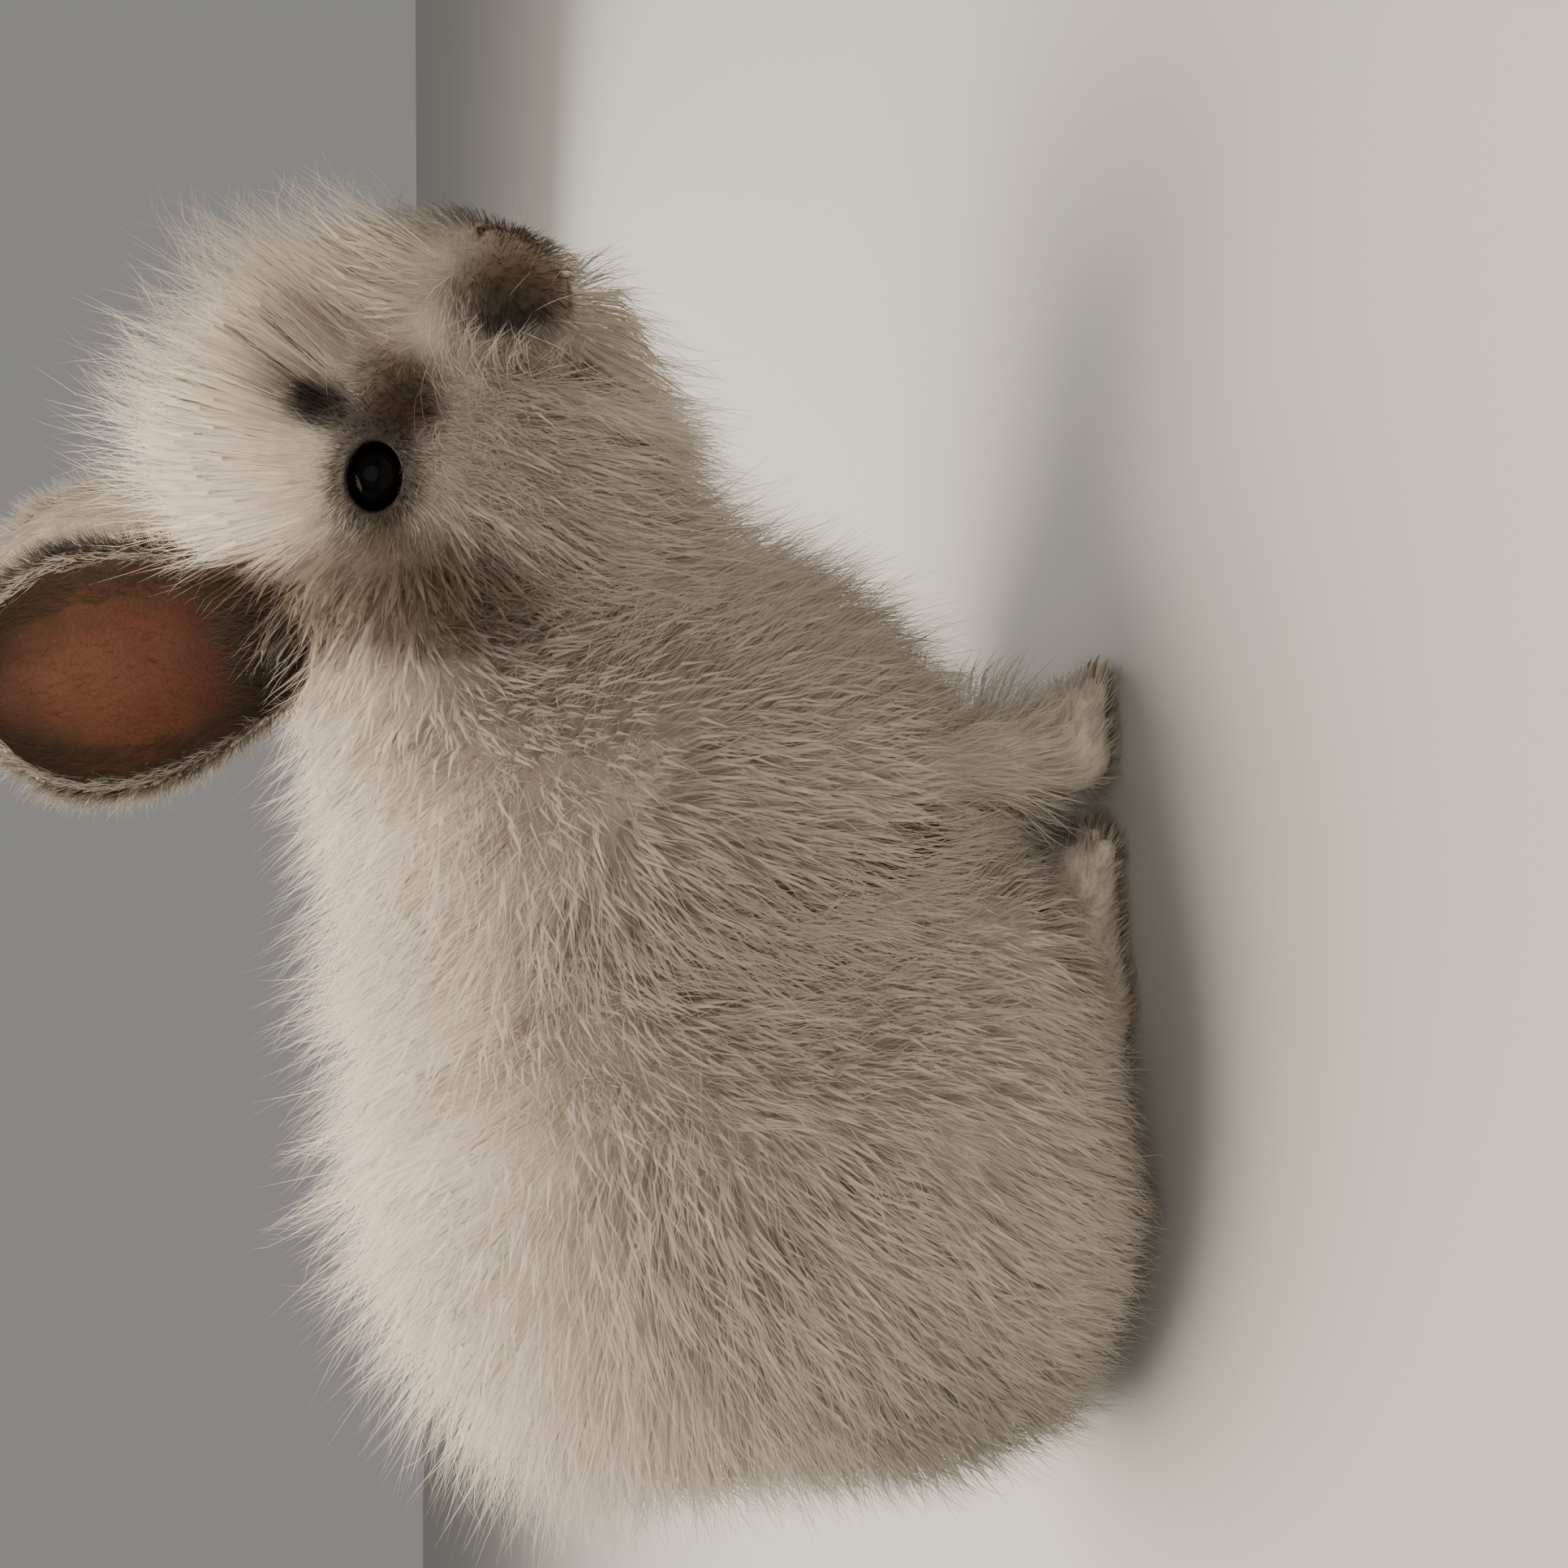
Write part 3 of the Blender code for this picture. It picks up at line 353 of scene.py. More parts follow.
def eye_opening(q):
    """Below zero between the lids; q is mirrored to the left side of the head's frame."""
    look, along, tilt = eye_axes()
    off = q - EYE_AT
    out, a, b = off @ look, off @ along / MM, off @ tilt / MM
    half_length, above, below = LIDS
    ring = np.sqrt((a / half_length) ** 2 + (b / np.where(b > 0, above, below)) ** 2)
    return np.where(out > 0, (ring - 1) * 7 * MM, 9 * MM)


def chain(q, places, radius):
    """Distance to a bent groove through these places."""
    return np.minimum.reduce([limb(q, a, b, radius, radius) for a, b in zip(places[:-1], places[1:])])


NOSTRIL = (
    (60.2, 1.7, -21.6), (60.0, 3.2, -18.6), (59.0, 5.8, -15.9), (56.9, 8.2, -15.6), (55.0, 9.6, -17.2),
)
CLEFT = ((60.4, 0, -20.8), (60.2, 0, -25), (58.6, 0, -31), (55.4, 0, -36.5))
MOUTH = (
    (54.2, 0, -37.8), (53.4, 4, -38.4), (50.4, 9.5, -39.6), (44.0, 14.4, -40.6), (36.0, 16.6, -41.2),
)
# The lids, the nose's wing and the lower lip: place, radii and how softly each blends in.
FACE_FORMS = (
    ((0.4, 20.6, 0.2), (12.0, 10.8, 10.4), 5),
    ((54.4, 4.6, -18.2), (4.6, 5.0, 5.2), 4),
    ((43, 0, -42), (8, 7, 5), 4),
)
# Each groove's course, its radius and how round its edge is.
FACE_GROOVES = ((NOSTRIL, 1.15, 1.0), (CLEFT, 0.75, 1.2), (MOUTH, 0.9, 1.6))
LID_EDGE = 1.4
EYE_SOCKET = (EYE_RADIUS + 0.12,) * 3


def head_skin(whole, p):
    """The skin of the face: lids, nose, lips and the grooves between them."""
    q = mirrored(in_head(p))
    for place, radii, soft in FACE_FORMS:
        whole = blend(whole, ellipsoid(q, place, radii), soft)
    whole = carve(whole, eye_opening(q), LID_EDGE)
    whole = carve(whole, ellipsoid(q, EYE_PLACE, EYE_SOCKET), 0.4)
    for places, radius, soft in FACE_GROOVES:
        whole = carve(whole, chain(q, places, radius), soft)
    return whole


def skin_field(p):
    """Below zero inside the rabbit's skin."""
    whole = blend(body_flesh(p), tail_flesh(p), 12)
    face = near_head(p, FACE_REACH)
    if face.any():
        whole[face] = head_skin(whole[face], p[face])
    whole = blend(whole, feet_flesh(p) + SHORT_FUR * MM, 5)
    whole = blend(whole, ear_distance(p), 5)
    return np.maximum(whole, 0.25 * MM - p[:, 2])


def gradient(field, points, reach=0.5 * MM):
    slope = [field(points + axis) - field(points - axis) for axis in np.eye(3) * reach]
    return np.array(slope).T / (2 * reach)


def unit(vectors):
    return vectors / np.maximum(np.linalg.norm(vectors, axis=-1, keepdims=True), 1e-9)


def smooth(low, high, value):
    share = np.clip((value - low) / (high - low), 0, 1)
    return share * share * (3 - 2 * share)


def grid_lines(low, high, fine_low, fine_high, coarse, fine):
    """Places along one axis, close together over the fine stretch."""
    lines = [low]
    while lines[-1] < high:
        at = lines[-1]
        outside = max(fine_low - at, at - fine_high, 0)
        lines.append(at + min(fine + 0.12 * outside, coarse))
    return np.array(lines) * MM


def between(values, axis, old, new):
    """Values on one axis's old lines, carried over to its new ones."""
    at = np.clip(np.searchsorted(old, new) - 1, 0, len(old) - 2)
    share = np.clip((new - old[at]) / (old[at + 1] - old[at]), 0, 1)
    shape = [1, 1, 1]
    shape[axis] = len(new)
    share = share.reshape(shape)
    return np.take(values, at, axis) * (1 - share) + np.take(values, at + 1, axis) * share


def grid_values(field, axes, band):
    """The field on a grid: exact near its surface, carried over from every fourth line elsewhere."""
    thin = [np.append(lines[:-1:4], lines[-1]) for lines in axes]
    corners = np.stack(np.meshgrid(*thin, indexing="ij"), -1)
    value = field(corners.reshape(-1, 3)).reshape(corners.shape[:3])
    for axis in range(3):
        value = between(value, axis, thin[axis], axes[axis])
    near = np.argwhere(np.abs(value) < band)
    points = np.column_stack([axes[i][near[:, i]] for i in range(3)])
    value[tuple(near.T)] = np.concatenate([field(part) for part in np.array_split(points, 12)])
    return value


def surface(field, axes, band):
    """A closed mesh of the zero surface of a field over a grid of lines: one corner in each crossed cell, and
    a face round each crossed edge. Returns (corners, quads)."""
    value = grid_values(field, axes, band)
    count = np.array(value.shape)
    inside = value < 0
    cells = count - 1
    total = np.zeros((*cells, 3))
    hits = np.zeros(cells)
    crossings = []
    for axis in range(3):
        shift = np.eye(3, dtype=int)[axis]
        size = count - shift
        here = tuple(slice(0, n) for n in size)
        there = tuple(slice(s, n + s) for s, n in zip(shift, size))
        crossed = inside[here] != inside[there]
        at = np.argwhere(crossed)
        a, b = value[here][crossed], value[there][crossed]
        share = a / (a - b)
        points = np.column_stack([axes[i][at[:, i]] for i in range(3)])
        points[:, axis] += share * (axes[axis][at[:, axis] + 1] - axes[axis][at[:, axis]])
        one, two = [i for i in range(3) if i != axis]
        for d_one in (0, 1):
            for d_two in (0, 1):
                cell = at.copy()
                cell[:, one] -= d_one
                cell[:, two] -= d_two
                np.add.at(total, tuple(cell.T), points)
                np.add.at(hits, tuple(cell.T), 1)
        crossings.append((axis, at, inside[here][crossed]))
    used = hits > 0
    number = np.full(tuple(cells), -1)
    number[used] = np.arange(used.sum())
    corners = total[used] / hits[used][:, None]
    quads = []
    for axis, at, starts_inside in crossings:
        one, two = (axis + 1) % 3, (axis + 2) % 3
        ring = []
        for d_one, d_two in ((1, 1), (0, 1), (0, 0), (1, 0)):
            cell = at.copy()
            cell[:, one] -= d_one
            cell[:, two] -= d_two
            ring.append(number[tuple(cell.T)])
        ring = np.array(ring).T
        quads.append(np.where(starts_inside[:, None], ring, ring[:, ::-1]))
    return corners, np.concatenate(quads)


def settled(field, corners, most):
    """The corners moved onto the zero surface, by at most this far a time."""
    for _ in range(2):
        slope = gradient(field, corners, 0.25 * MM)
        fall = field(corners) / np.maximum((slope**2).sum(1), 0.3)
        corners = corners - np.clip(fall, -most, most)[:, None] * slope
    return corners


def linked(name, data):
    """A new object in the scene."""
    thing = bpy.data.objects.new(name, data)
    bpy.context.scene.collection.objects.link(thing)
    return thing


def mesh_object(name, corners, faces):
    """An object from arrays of corners, in the body's frame, and of faces with the same number of corners."""
    mesh = bpy.data.meshes.new(name)
    sides = faces.shape[1]
    mesh.vertices.add(len(corners))
    mesh.vertices.foreach_set("co", (corners + SHIFT).astype(np.float32).ravel())
    mesh.loops.add(faces.size)
    mesh.loops.foreach_set("vertex_index", faces.astype(np.int32).ravel())
    mesh.polygons.add(len(faces))
    mesh.polygons.foreach_set("loop_start", np.arange(0, faces.size, sides, dtype=np.int32))
    mesh.polygons.foreach_set("use_smooth", np.ones(len(faces), bool))
    mesh.update(calc_edges=True)
    mesh.validate()
    return linked(name, mesh)


def paint(mesh, colours):
    """Puts a colour on each corner of a mesh, as the attribute tint."""
    tint = mesh.attributes.new("tint", "FLOAT_COLOR", "POINT")
    opaque = np.column_stack((colours, np.ones(len(colours))))
    tint.data.foreach_set("color", opaque.astype(np.float32).ravel())


# Along each axis: the grid's ends, the stretch of fine lines over the head, and the widest spacing elsewhere.
SKIN_LINES = (
    (-175, 150, 8, 148, 2.8),
    (-100, 78, -92, 52, 2.6),
    (-2, 294, 138, 292, 2.8),
)
SKIN_FINE = 0.95
SKIN_BAND = 4.5


def skin_mesh():
    axes = [grid_lines(*lines, SKIN_FINE) for lines in SKIN_LINES]
    corners, quads = surface(skin_field, axes, SKIN_BAND * MM)
    return settled(skin_field, corners, 0.5 * MM), quads


# The coat's zones: place and reach, the coat's depth, how far it stands up (0 flat, 1 upright) and its lie.
BODY_ZONES = (
    ((-60, 0, 168), 36, 38, 0.72, (-1, 0, 0.1)),
    ((-125, 0, 152), 30, 42, 0.74, (-1, 0, 0.2)),
    ((-154, 0, 136), 22, 50, 0.80, (-1, 0, 0.4)),
    ((-168, 0, 95), 30, 24, 0.70, (-0.6, 0, -1)),
    ((-160, 24, 36), 26, 21, 0.50, (-0.2, 0, -1)),
    ((-136, 34, 12), 20, 18, 0.40, (-0.3, 0, -1)),
    ((-90, 55, 20), 20, 12, 0.35, (-0.4, 0, -1)),
    ((-72, 55, 112), 38, 30, 0.66, (-0.45, 0, -1)),
    ((0, 38, 112), 28, 26, 0.60, (-0.25, 0, -1)),
    ((-12, 0, 174), 26, 27, 0.68, (-1, 0, 0)),
    ((36, 0, 84), 26, 32, 0.55, (-0.1, 0, -1)),
    ((8, 32, 62), 16, 22, 0.50, (-0.1, 0, -1)),
    ((66, -10, 124), 24, 19, 0.55, (0.1, 0, -1)),
    ((-60, 0, 20), 36, 12, 0.20, (-1, 0, 0)),
    ((-92, 62, 70), 30, 24, 0.58, (-0.5, 0, -1)),
    ((-44, 60, 46), 18, 16, 0.45, (-0.4, 0, -1)),
    ((26, -4, 186), 22, 17, 0.60, (-1, 0, 0)),
    ((26, 28, 150), 24, 24, 0.58, (-0.4, 0, -1)),
)
HEAD_ZONES = (
    ((57, 0, -22), 11, 1.6, 0.20, (-1, 0, 0.3)),
    ((53, 13, -24), 8, 2.4, 0.30, (-1, 0, -0.1)),
    ((54, 0, -5), 7, 5, 0.55, (0.6, 0, 1)),
    ((38, 0, 6), 12, 22, 0.75, (0.5, 0, 1)),
    ((16, 0, 24), 15, 34, 0.80, (0.3, 0, 1)),
    ((-12, 0, 29), 14, 38, 0.80, (0.1, 0, 1)),
    ((-36, 0, 24), 12, 18, 0.50, (-1, 0, 0.3)),
    ((-46, 0, 4), 14, 14, 0.45, (-1, 0, 0)),
    ((-8, 29, -26), 18, 17, 0.50, (-0.5, 0, -0.9)),
    ((12, 27, -12), 10, 8, 0.40, (-0.6, 0, -1)),
    ((0, 30, 0), 9, 3.5, 0.25, (-1, 0, 0)),
    ((0, 24, 16), 9, 12, 0.60, (-0.2, 0.3, 1)),
    ((44, 18, -27), 8, 4.5, 0.40, (-1, 0, -0.3)),
    ((42, 0, -48), 11, 13, 0.45, (-0.4, 0, -1)),
    ((12, 8, -46), 18, 35, 0.50, (-0.2, 0, -1)),
    ((-26, 26, -4), 12, 12, 0.40, (-1, 0, -0.3)),
    ((26, 18, -10), 10, 6, 0.40, (-1, 0, -0.1)),
)


def coat(p):
    """The coat's depth in metres, its lift and its lie at each point."""
    total = np.full(len(p), 1e-12)
    sums = np.zeros((len(p), 5))
    for zones, local in ((BODY_ZONES, p), (HEAD_ZONES, in_head(p))):
        side = np.where(local[:, 1] < 0, -1.0, 1.0)
        q = mirrored(local)
        for place, reach, depth, lift, lie in zones:
            off = (q - np.multiply(place, MM)) / (reach * MM)
            weight = np.exp(-(off**2).sum(1) / 2) / reach
            way = np.tile(lie, (len(p), 1)) / np.linalg.norm(lie)
            way[:, 1] *= side
            if zones is HEAD_ZONES:
                way = way @ HEAD_TURN.T
            total += weight
            sums[:, 0] += weight * depth * MM
            sums[:, 1] += weight * lift
            sums[:, 2:] += weight[:, None] * way
    return sums[:, 0] / total, sums[:, 1] / total, sums[:, 2:] / total[:, None]


def waves(points, size, seed):
    """Smooth noise about zero, from -1 to 1, with lumps of this size in millimetres."""
    rng = np.random.default_rng(seed)
    way = unit(rng.normal(size=(7, 3))) * (2 * math.pi / (size * 2 * MM))
    way = way * rng.uniform(0.6, 1.4, (7, 1))
    phase = rng.uniform(0, 2 * math.pi, 7)
    return np.sin(points @ way.T + phase).sum(1) / 3.6


def eye_off(q):
    """How far each point is from the eye's centre, in millimetres, counted less along the head."""
    off = (q - EYE_AT) / MM
    return np.sqrt((off[:, 0] / 1.12) ** 2 + off[:, 1] ** 2 + off[:, 2] ** 2)


# The ears' roots stand at this place along the head; the coat before them is short, and behind it covers them.
EAR_BACK = -38

# Places of short fur in front of the eye, and the share of the coat's depth that is left there.
FACE_HOLLOWS = (
    ((27, 17, 3), 7, 0.30),
    ((16, 21, 2), 6, 0.35),
    ((13, 20, 13), 7, 0.35),
    ((40, 17, -20), 8, 0.6),
)
# Between these distances from the eye the fur grows from its shortest to the coat's depth.
EYE_FUR = (11.5, 25)
# The heights between which the feet's fur turns into the legs', and its depth and lift below and gained above.
SHANK = (14, 40)
FOOT_DEPTH = (4.2, 10.5)
FOOT_LIFT = (0.35, 0.15)
# A coat no deeper than this is short fur.
LONG_FUR = 7


def groom(p, normal):
    """The coat at roots on the skin: depth, lift and lie, and whether it is a leg's."""
    depth, lift, lie = coat(p)
    local = in_head(p)
    q = mirrored(local)
    side = np.where(local[:, 1] < 0, -1.0, 1.0)
    head = near_head(p, GROOM_REACH)
    off = eye_off(q)
    far = smooth(*EYE_FUR, off)
    away = q - EYE_AT
    away[:, 1] *= side
    away = unit(away @ HEAD_TURN.T) + unit(lie) * 0.5
    close = head & (off < EYE_FUR[1])
    depth = np.where(close, (1.3 + 0.16 * (off - 11)) * MM * (1 - far) + depth * far, depth)
    lift = np.where(close, 0.3 * (1 - far) + lift * far, lift)
    lie = np.where(close[:, None], away * (1 - far)[:, None] + unit(lie) * far[:, None], lie)
    for place, reach, share in FACE_HOLLOWS:
        gone = np.exp(-((q - np.multiply(place, MM)) ** 2).sum(1) / (2 * (reach * MM) ** 2))
        depth = depth * (1 - (1 - share) * gone * head)
    ear = smooth(2 * MM, 15 * MM, ear_distance(p))
    ahead = smooth(EAR_BACK - 8, EAR_BACK + 4, q[:, 0] / MM)
    depth = np.where(head, depth * (1 - 0.7 * (1 - ear) * ahead), depth)
    dark = np.zeros(len(p))
    for shade, amount in side_amounts(q / MM):
        if shade in (DARK, BROWN):
            dark = np.maximum(dark, amount)
    depth = depth * (1 - 0.45 * dark * head)
    leg = feet_flesh(p) + SHORT_FUR * MM < 0.9 * MM
    shank = smooth(*SHANK, p[:, 2] / MM)
    foot_lie = np.column_stack((1.0 - 1.25 * shank, np.zeros(len(p)), -0.5 - 0.5 * shank))
    depth = np.where(leg, (FOOT_DEPTH[0] + FOOT_DEPTH[1] * shank) * MM, depth)
    lift = np.where(leg, FOOT_LIFT[0] + FOOT_LIFT[1] * shank, lift)
    lie = np.where(leg[:, None], foot_lie, lie)
    lie = unit(lie - (lie * normal).sum(1)[:, None] * normal)
    return depth, lift, lie, leg


WHITE = (0.86, 0.785, 0.685)
SMOKE = (0.30, 0.24, 0.175)
BROWN = (0.085, 0.052, 0.030)
DARK = (0.040, 0.030, 0.022)
TAN = (0.140, 0.092, 0.045)
STAIN = (0.62, 0.50, 0.33)
PINK = (0.52, 0.36, 0.29)

# A marking on the side of the head, or painted shade where noted, seen square to its side: its colour, place
# (along, up), half length, half width, the way of its length in degrees above the nose's way, and its strength.
# Sizes are in millimetres.
SIDE_MARKINGS = (
    # The cheek: a real smoky tint, darkened further as painted shade on the side of the face.
    (SMOKE, (-27, -13), 36, 18, 100, 0.92),
    # Painted shade: a smoky grey over the jaw.
    (SMOKE, (4, -36), 24, 16, 90, 0.35),
    (SMOKE, (-38, 12), 14, 15, 90, 0.80),
    (SMOKE, (-13, -3), 9, 9, 0, 0.75),
    (SMOKE, (-1, 9.5), 10, 4.5, 0, 0.65),
    (TAN, (23, -1), 12, 12, 90, 0.75),
    (BROWN, (16, -3), 11, 9, 105, 1.0),
    (DARK, (14.2, 16), 13.0, 7.0, 72, 0.93),
    (TAN, (53, -26), 17, 12, 108, 0.95),
    (BROWN, (49, -20), 17, 7, 108, 0.55),
    (DARK, (44.5, -26), 15, 7.5, 108, 0.97),
    (BROWN, (-34, 29), 13, 7.5, 90, 0.95),
)
# How much further back a side marking lies for each millimetre nearer the middle of the face, and between
# which places from the middle it begins.
SIDE_SLANT = 0.24
SIDE_INNER = (5, 10)
# A marking on the middle of the face: its colour, place, reach and strength.
FRONT_MARKINGS = (
    (TAN, (60, 0, -24), (9, 13, 17), 1.0),
    (PINK, (61, 0, -23), (4, 6, 5), 0.5),
)
# The dark ring round the eye: its middle's distance from the eye's centre, its half width and its strength.
EYE_RING = (11.0, 3.6, 0.85)
# The feet's stain: from which height down, where it is full, and its strength.
STAIN_HEIGHT = (11, 1, 0.6)
# Painted shade low on the rump, a grey mixed into the hair: its colour, from which height down, from which
# place back, and its strength.
RUMP_SHADE = ((0.42, 0.40, 0.355), (125, 55), (-105, -165), 0.55)


def side_amounts(q):
    """How strongly each side marking shows at points of the mirrored head's frame, in millimetres."""
    along = q[:, 0] - SIDE_SLANT * (q[:, 1] - 20)
    beside = smooth(*SIDE_INNER, q[:, 1])
    for shade, place, length, width, angle, strength in SIDE_MARKINGS:
        x, z = along - place[0], q[:, 2] - place[1]
        cos, sin = math.cos(math.radians(angle)), math.sin(math.radians(angle))
        off = ((x * cos + z * sin) / length) ** 2 + ((z * cos - x * sin) / width) ** 2
        yield shade, strength * beside * np.exp(-(off**1.25))


def marked(p, chance=None):
    """The colour of hair or skin at each point, with painted shade low on the rump and, through the side
    markings, on the cheeks and jaw. With a chance from 0 to 1 for each, edges are mixed hairs.
    """
    colour = np.tile(WHITE, (len(p), 1))
    head = near_head(p, MARKING_REACH)
    q = mirrored(in_head(p[head])) / MM
    some = None if chance is None else chance[head]
    face = colour[head]
    for shade, amount in side_amounts(q):
        face = mixed(face, shade, amount, some)
    for shade, place, reach, strength in FRONT_MARKINGS:
        face = mixed(face, shade, strength * np.exp(-(((q - place) / reach) ** 2).sum(1)), some)
    middle, width, strength = EYE_RING
    face = mixed(face, DARK, strength * np.exp(-(((eye_off(q * MM) - middle) / width) ** 2)), some)
    colour[head] = face
    # Painted shade: the hair low on the rump is mixed towards grey.
    shade, rows, places, strength = RUMP_SHADE
    low_rump_shade = smooth(*rows, p[:, 2] / MM) * smooth(*places, p[:, 0] / MM)
    colour = mixed(colour, shade, strength * low_rump_shade, chance)
    high, low, strength = STAIN_HEIGHT
    return mixed(colour, STAIN, strength * smooth(high, low, p[:, 2] / MM), chance)


def mixed(colour, shade, amount, chance=None):
    if chance is not None:
        amount = smooth(0.0, 1.0, np.clip(amount * 1.5 - chance * 0.5, 0, 1))
    return colour * (1 - amount)[:, None] + np.array(shade) * amount[:, None]


class Skin:
    """The skin's faces with their areas, from which roots are drawn."""

    def __init__(self, corners, quads):
        self.corners = corners
        self.quads = quads
        a, b, c, d = (corners[quads[:, i]] for i in range(4))
        cross = np.cross(c - a, d - b) / 2
        self.area = np.linalg.norm(cross, axis=1)
        normal = np.zeros_like(corners)
        for i in range(4):
            np.add.at(normal, quads[:, i], cross)
        self.normal = unit(normal)
        self.middle = (a + b + c + d) / 4

    def drawn(self, number, weight, rng):
        """So many roots and normals at random places, in proportion to the faces' areas times the weight."""
        share = self.area * weight
        faces = rng.choice(len(self.quads), number, p=share / share.sum())
        u, v = rng.random((2, number, 1))
        a, b, c, d = (self.quads[faces, i] for i in range(4))

        def at(values):
            near = values[a] * (1 - u) + values[b] * u
            return near * (1 - v) + (values[d] * (1 - u) + values[c] * u) * v

        return at(self.corners), unit(at(self.normal))


GUIDE_STEPS = 9


def level_point(points, level):
    """Points moved along the slope until they lie at this share of the coat's depth."""
    for _ in range(2):
        slope = gradient(body_flesh, points, 1.0 * MM)
        miss = body_flesh(points) - level * coat(points)[0]
        points = points - slope * (miss / np.maximum((slope**2).sum(1), 0.3))[:, None]
    return points


# How a set of guides runs: its random turn and level, its large waves, its top, how flat its end lies, and
# how its lengths differ and reach.
Flow = namedtuple("Flow", "turn unevenness sway top bend spread far", defaults=(1.0,))

WOOL_FLOW = Flow(0.12, 0.02, 0.6, 0.82, 2.0, 0.15)
HAIR_FLOW = Flow(0.20, 0.035, 0.7, 0.97, 1.7, 0.30)
WAVE_FLOW = Flow(0.24, 0.03, 0.9, 0.99, 1.9, 0.30, 1.6)


def guides(roots, normal, coat_there, flow, rng):
    """The paths of groups of hairs from the skin to the coat's tips, and the coat's outward way there."""
    depth, lift, lie, leg = coat_there
    count = len(roots)
    turn = flow.sway * (0.36 * waves(roots, 30, 3) + 0.26 * waves(roots, 12, 4))
    turn = (turn + rng.normal(0, flow.turn, count))[:, None]
    lie = lie * np.cos(turn) + np.cross(normal, lie) * np.sin(turn)
    lift = lift + 0.12 * waves(roots, 15, 8) + rng.normal(0, flow.turn * 0.25, count)
    reach = flow.far * depth * np.clip(1.30 - 1.15 * lift, 0.25, 1.4)
    reach = reach * rng.uniform(1 - flow.spread, 1 + flow.spread, count)
    peak = flow.top + 0.055 * waves(roots, 22, 5) + 0.035 * waves(roots, 8, 6)
    peak = peak + rng.normal(0, flow.unevenness, count)
    share = np.linspace(0, 1, GUIDE_STEPS)
    level = peak[:, None] * (1 - (1 - share) ** flow.bend)
    path = roots[:, None] + lie[:, None] * (reach[:, None] * share**1.25)[..., None]
    path = path + normal[:, None] * (level * depth[:, None])[..., None]
    long = ~(leg | (depth < LONG_FUR * MM))
    moved = level_point(path[long][:, 1:].reshape(-1, 3), level[long][:, 1:].ravel())
    path[np.nonzero(long)[0], 1:] = moved.reshape(-1, GUIDE_STEPS - 1, 3)
    upward = np.repeat(normal[:, None], GUIDE_STEPS, 1)
    flat = path[long].reshape(-1, 3)
    upward[long] = unit(gradient(body_flesh, flat, 1.0 * MM)).reshape(-1, GUIDE_STEPS, 3)
    return path, upward


def at_shares(values, share):
    """Values along each path at shares of its length."""
    place = np.clip(share, 0, 1) * (GUIDE_STEPS - 1)
    low = np.minimum(place.astype(int), GUIDE_STEPS - 2)
    part = (place - low)[..., None]
    row = np.arange(len(values))[:, None]
    inside = values[row, low] * (1 - part) + values[row, low + 1] * part
    beyond = (share - 1)[..., None] * (values[:, -1] - values[:, -2])[:, None] * (GUIDE_STEPS - 1)
    return np.where((share > 1)[..., None], values[:, -1:] + beyond, inside)


# How far the soft normals of a hair's underside lean from the coat's outward way.
UNDER_TILT = 0.4


def hair_faces(rings):
    """The faces of a closed three-sided hair, and their places on a patch of the map."""
    faces = [(0, 1, 2)]
    patch = [((0.1, 0.0), (0.9, 0.0), (0.5, -0.12))]
    for i in range(rings - 1):
        low, high = i / rings, (i + 1) / rings
        for j in range(3):
            k = (j + 1) % 3
            a, b = 3 * i + j, 3 * i + k
            left, right = j / 2, k / 2
            faces += [(a, b + 3, b), (a, a + 3, b + 3)]
            patch += [((left, low), (right, high), (right, low)), ((left, low), (left, high), (right, high))]
    last, low = 3 * (rings - 1), (rings - 1) / rings
    for j in range(3):
        k = (j + 1) % 3
        faces.append((last + k, last + j, 3 * rings))
        patch.append(((k / 2, low), (j / 2, low), (0.45, 1.0)))
    return np.array(faces), np.array(patch)


class Hairs:
    """Many closed three-sided tapered hairs or thin tufts of the same number of rings."""

    def __init__(self, path, upward, width, roots, colour, spin=0.45, seed=1, thick=0.9, tilt=0.4):
        self.roots = roots
        count, points, _ = path.shape
        rng = np.random.default_rng(seed)
        course = unit(np.gradient(path, axis=1))
        across = unit(np.cross(upward, course))
        top = np.cross(course, across)
        roll = rng.normal(0, spin, count)[:, None, None]
        across, top = across * np.cos(roll) + top * np.sin(roll), top * np.cos(roll) - across * np.sin(roll)
        share = np.linspace(0, 1, points)[:-1]
        taper = (0.75 + 0.9 * share * (1 - share)) * (1 - 0.72 * share**2)
        half = (width[:, None] / 2 * taper)[..., None]
        centre, outward = path[:, :-1], upward[:, :-1]
        across, top = across[:, :-1], top[:, :-1]
        rings = np.stack((centre - across * half, centre + across * half, centre - top * half * thick), 2)
        self.corners = np.concatenate((rings.reshape(count, -1, 3), path[:, -1:]), 1)
        under = outward - top * UNDER_TILT * thick
        rings = np.stack((outward - across * tilt, outward + across * tilt, under), 2)
        self.normals = unit(np.concatenate((rings.reshape(count, -1, 3), upward[:, -1:]), 1))
        self.faces, self.patch = hair_faces(points - 1)
        if colour.ndim == 3:
            self.colour = np.concatenate((np.repeat(colour[:, :-1], 3, 1), colour[:, -1:]), 1)
        else:
            self.colour = np.repeat(colour[:, None], self.corners.shape[1], 1)


PATCH_SIZE = 0.003
MOST_TRIANGLES = 190000


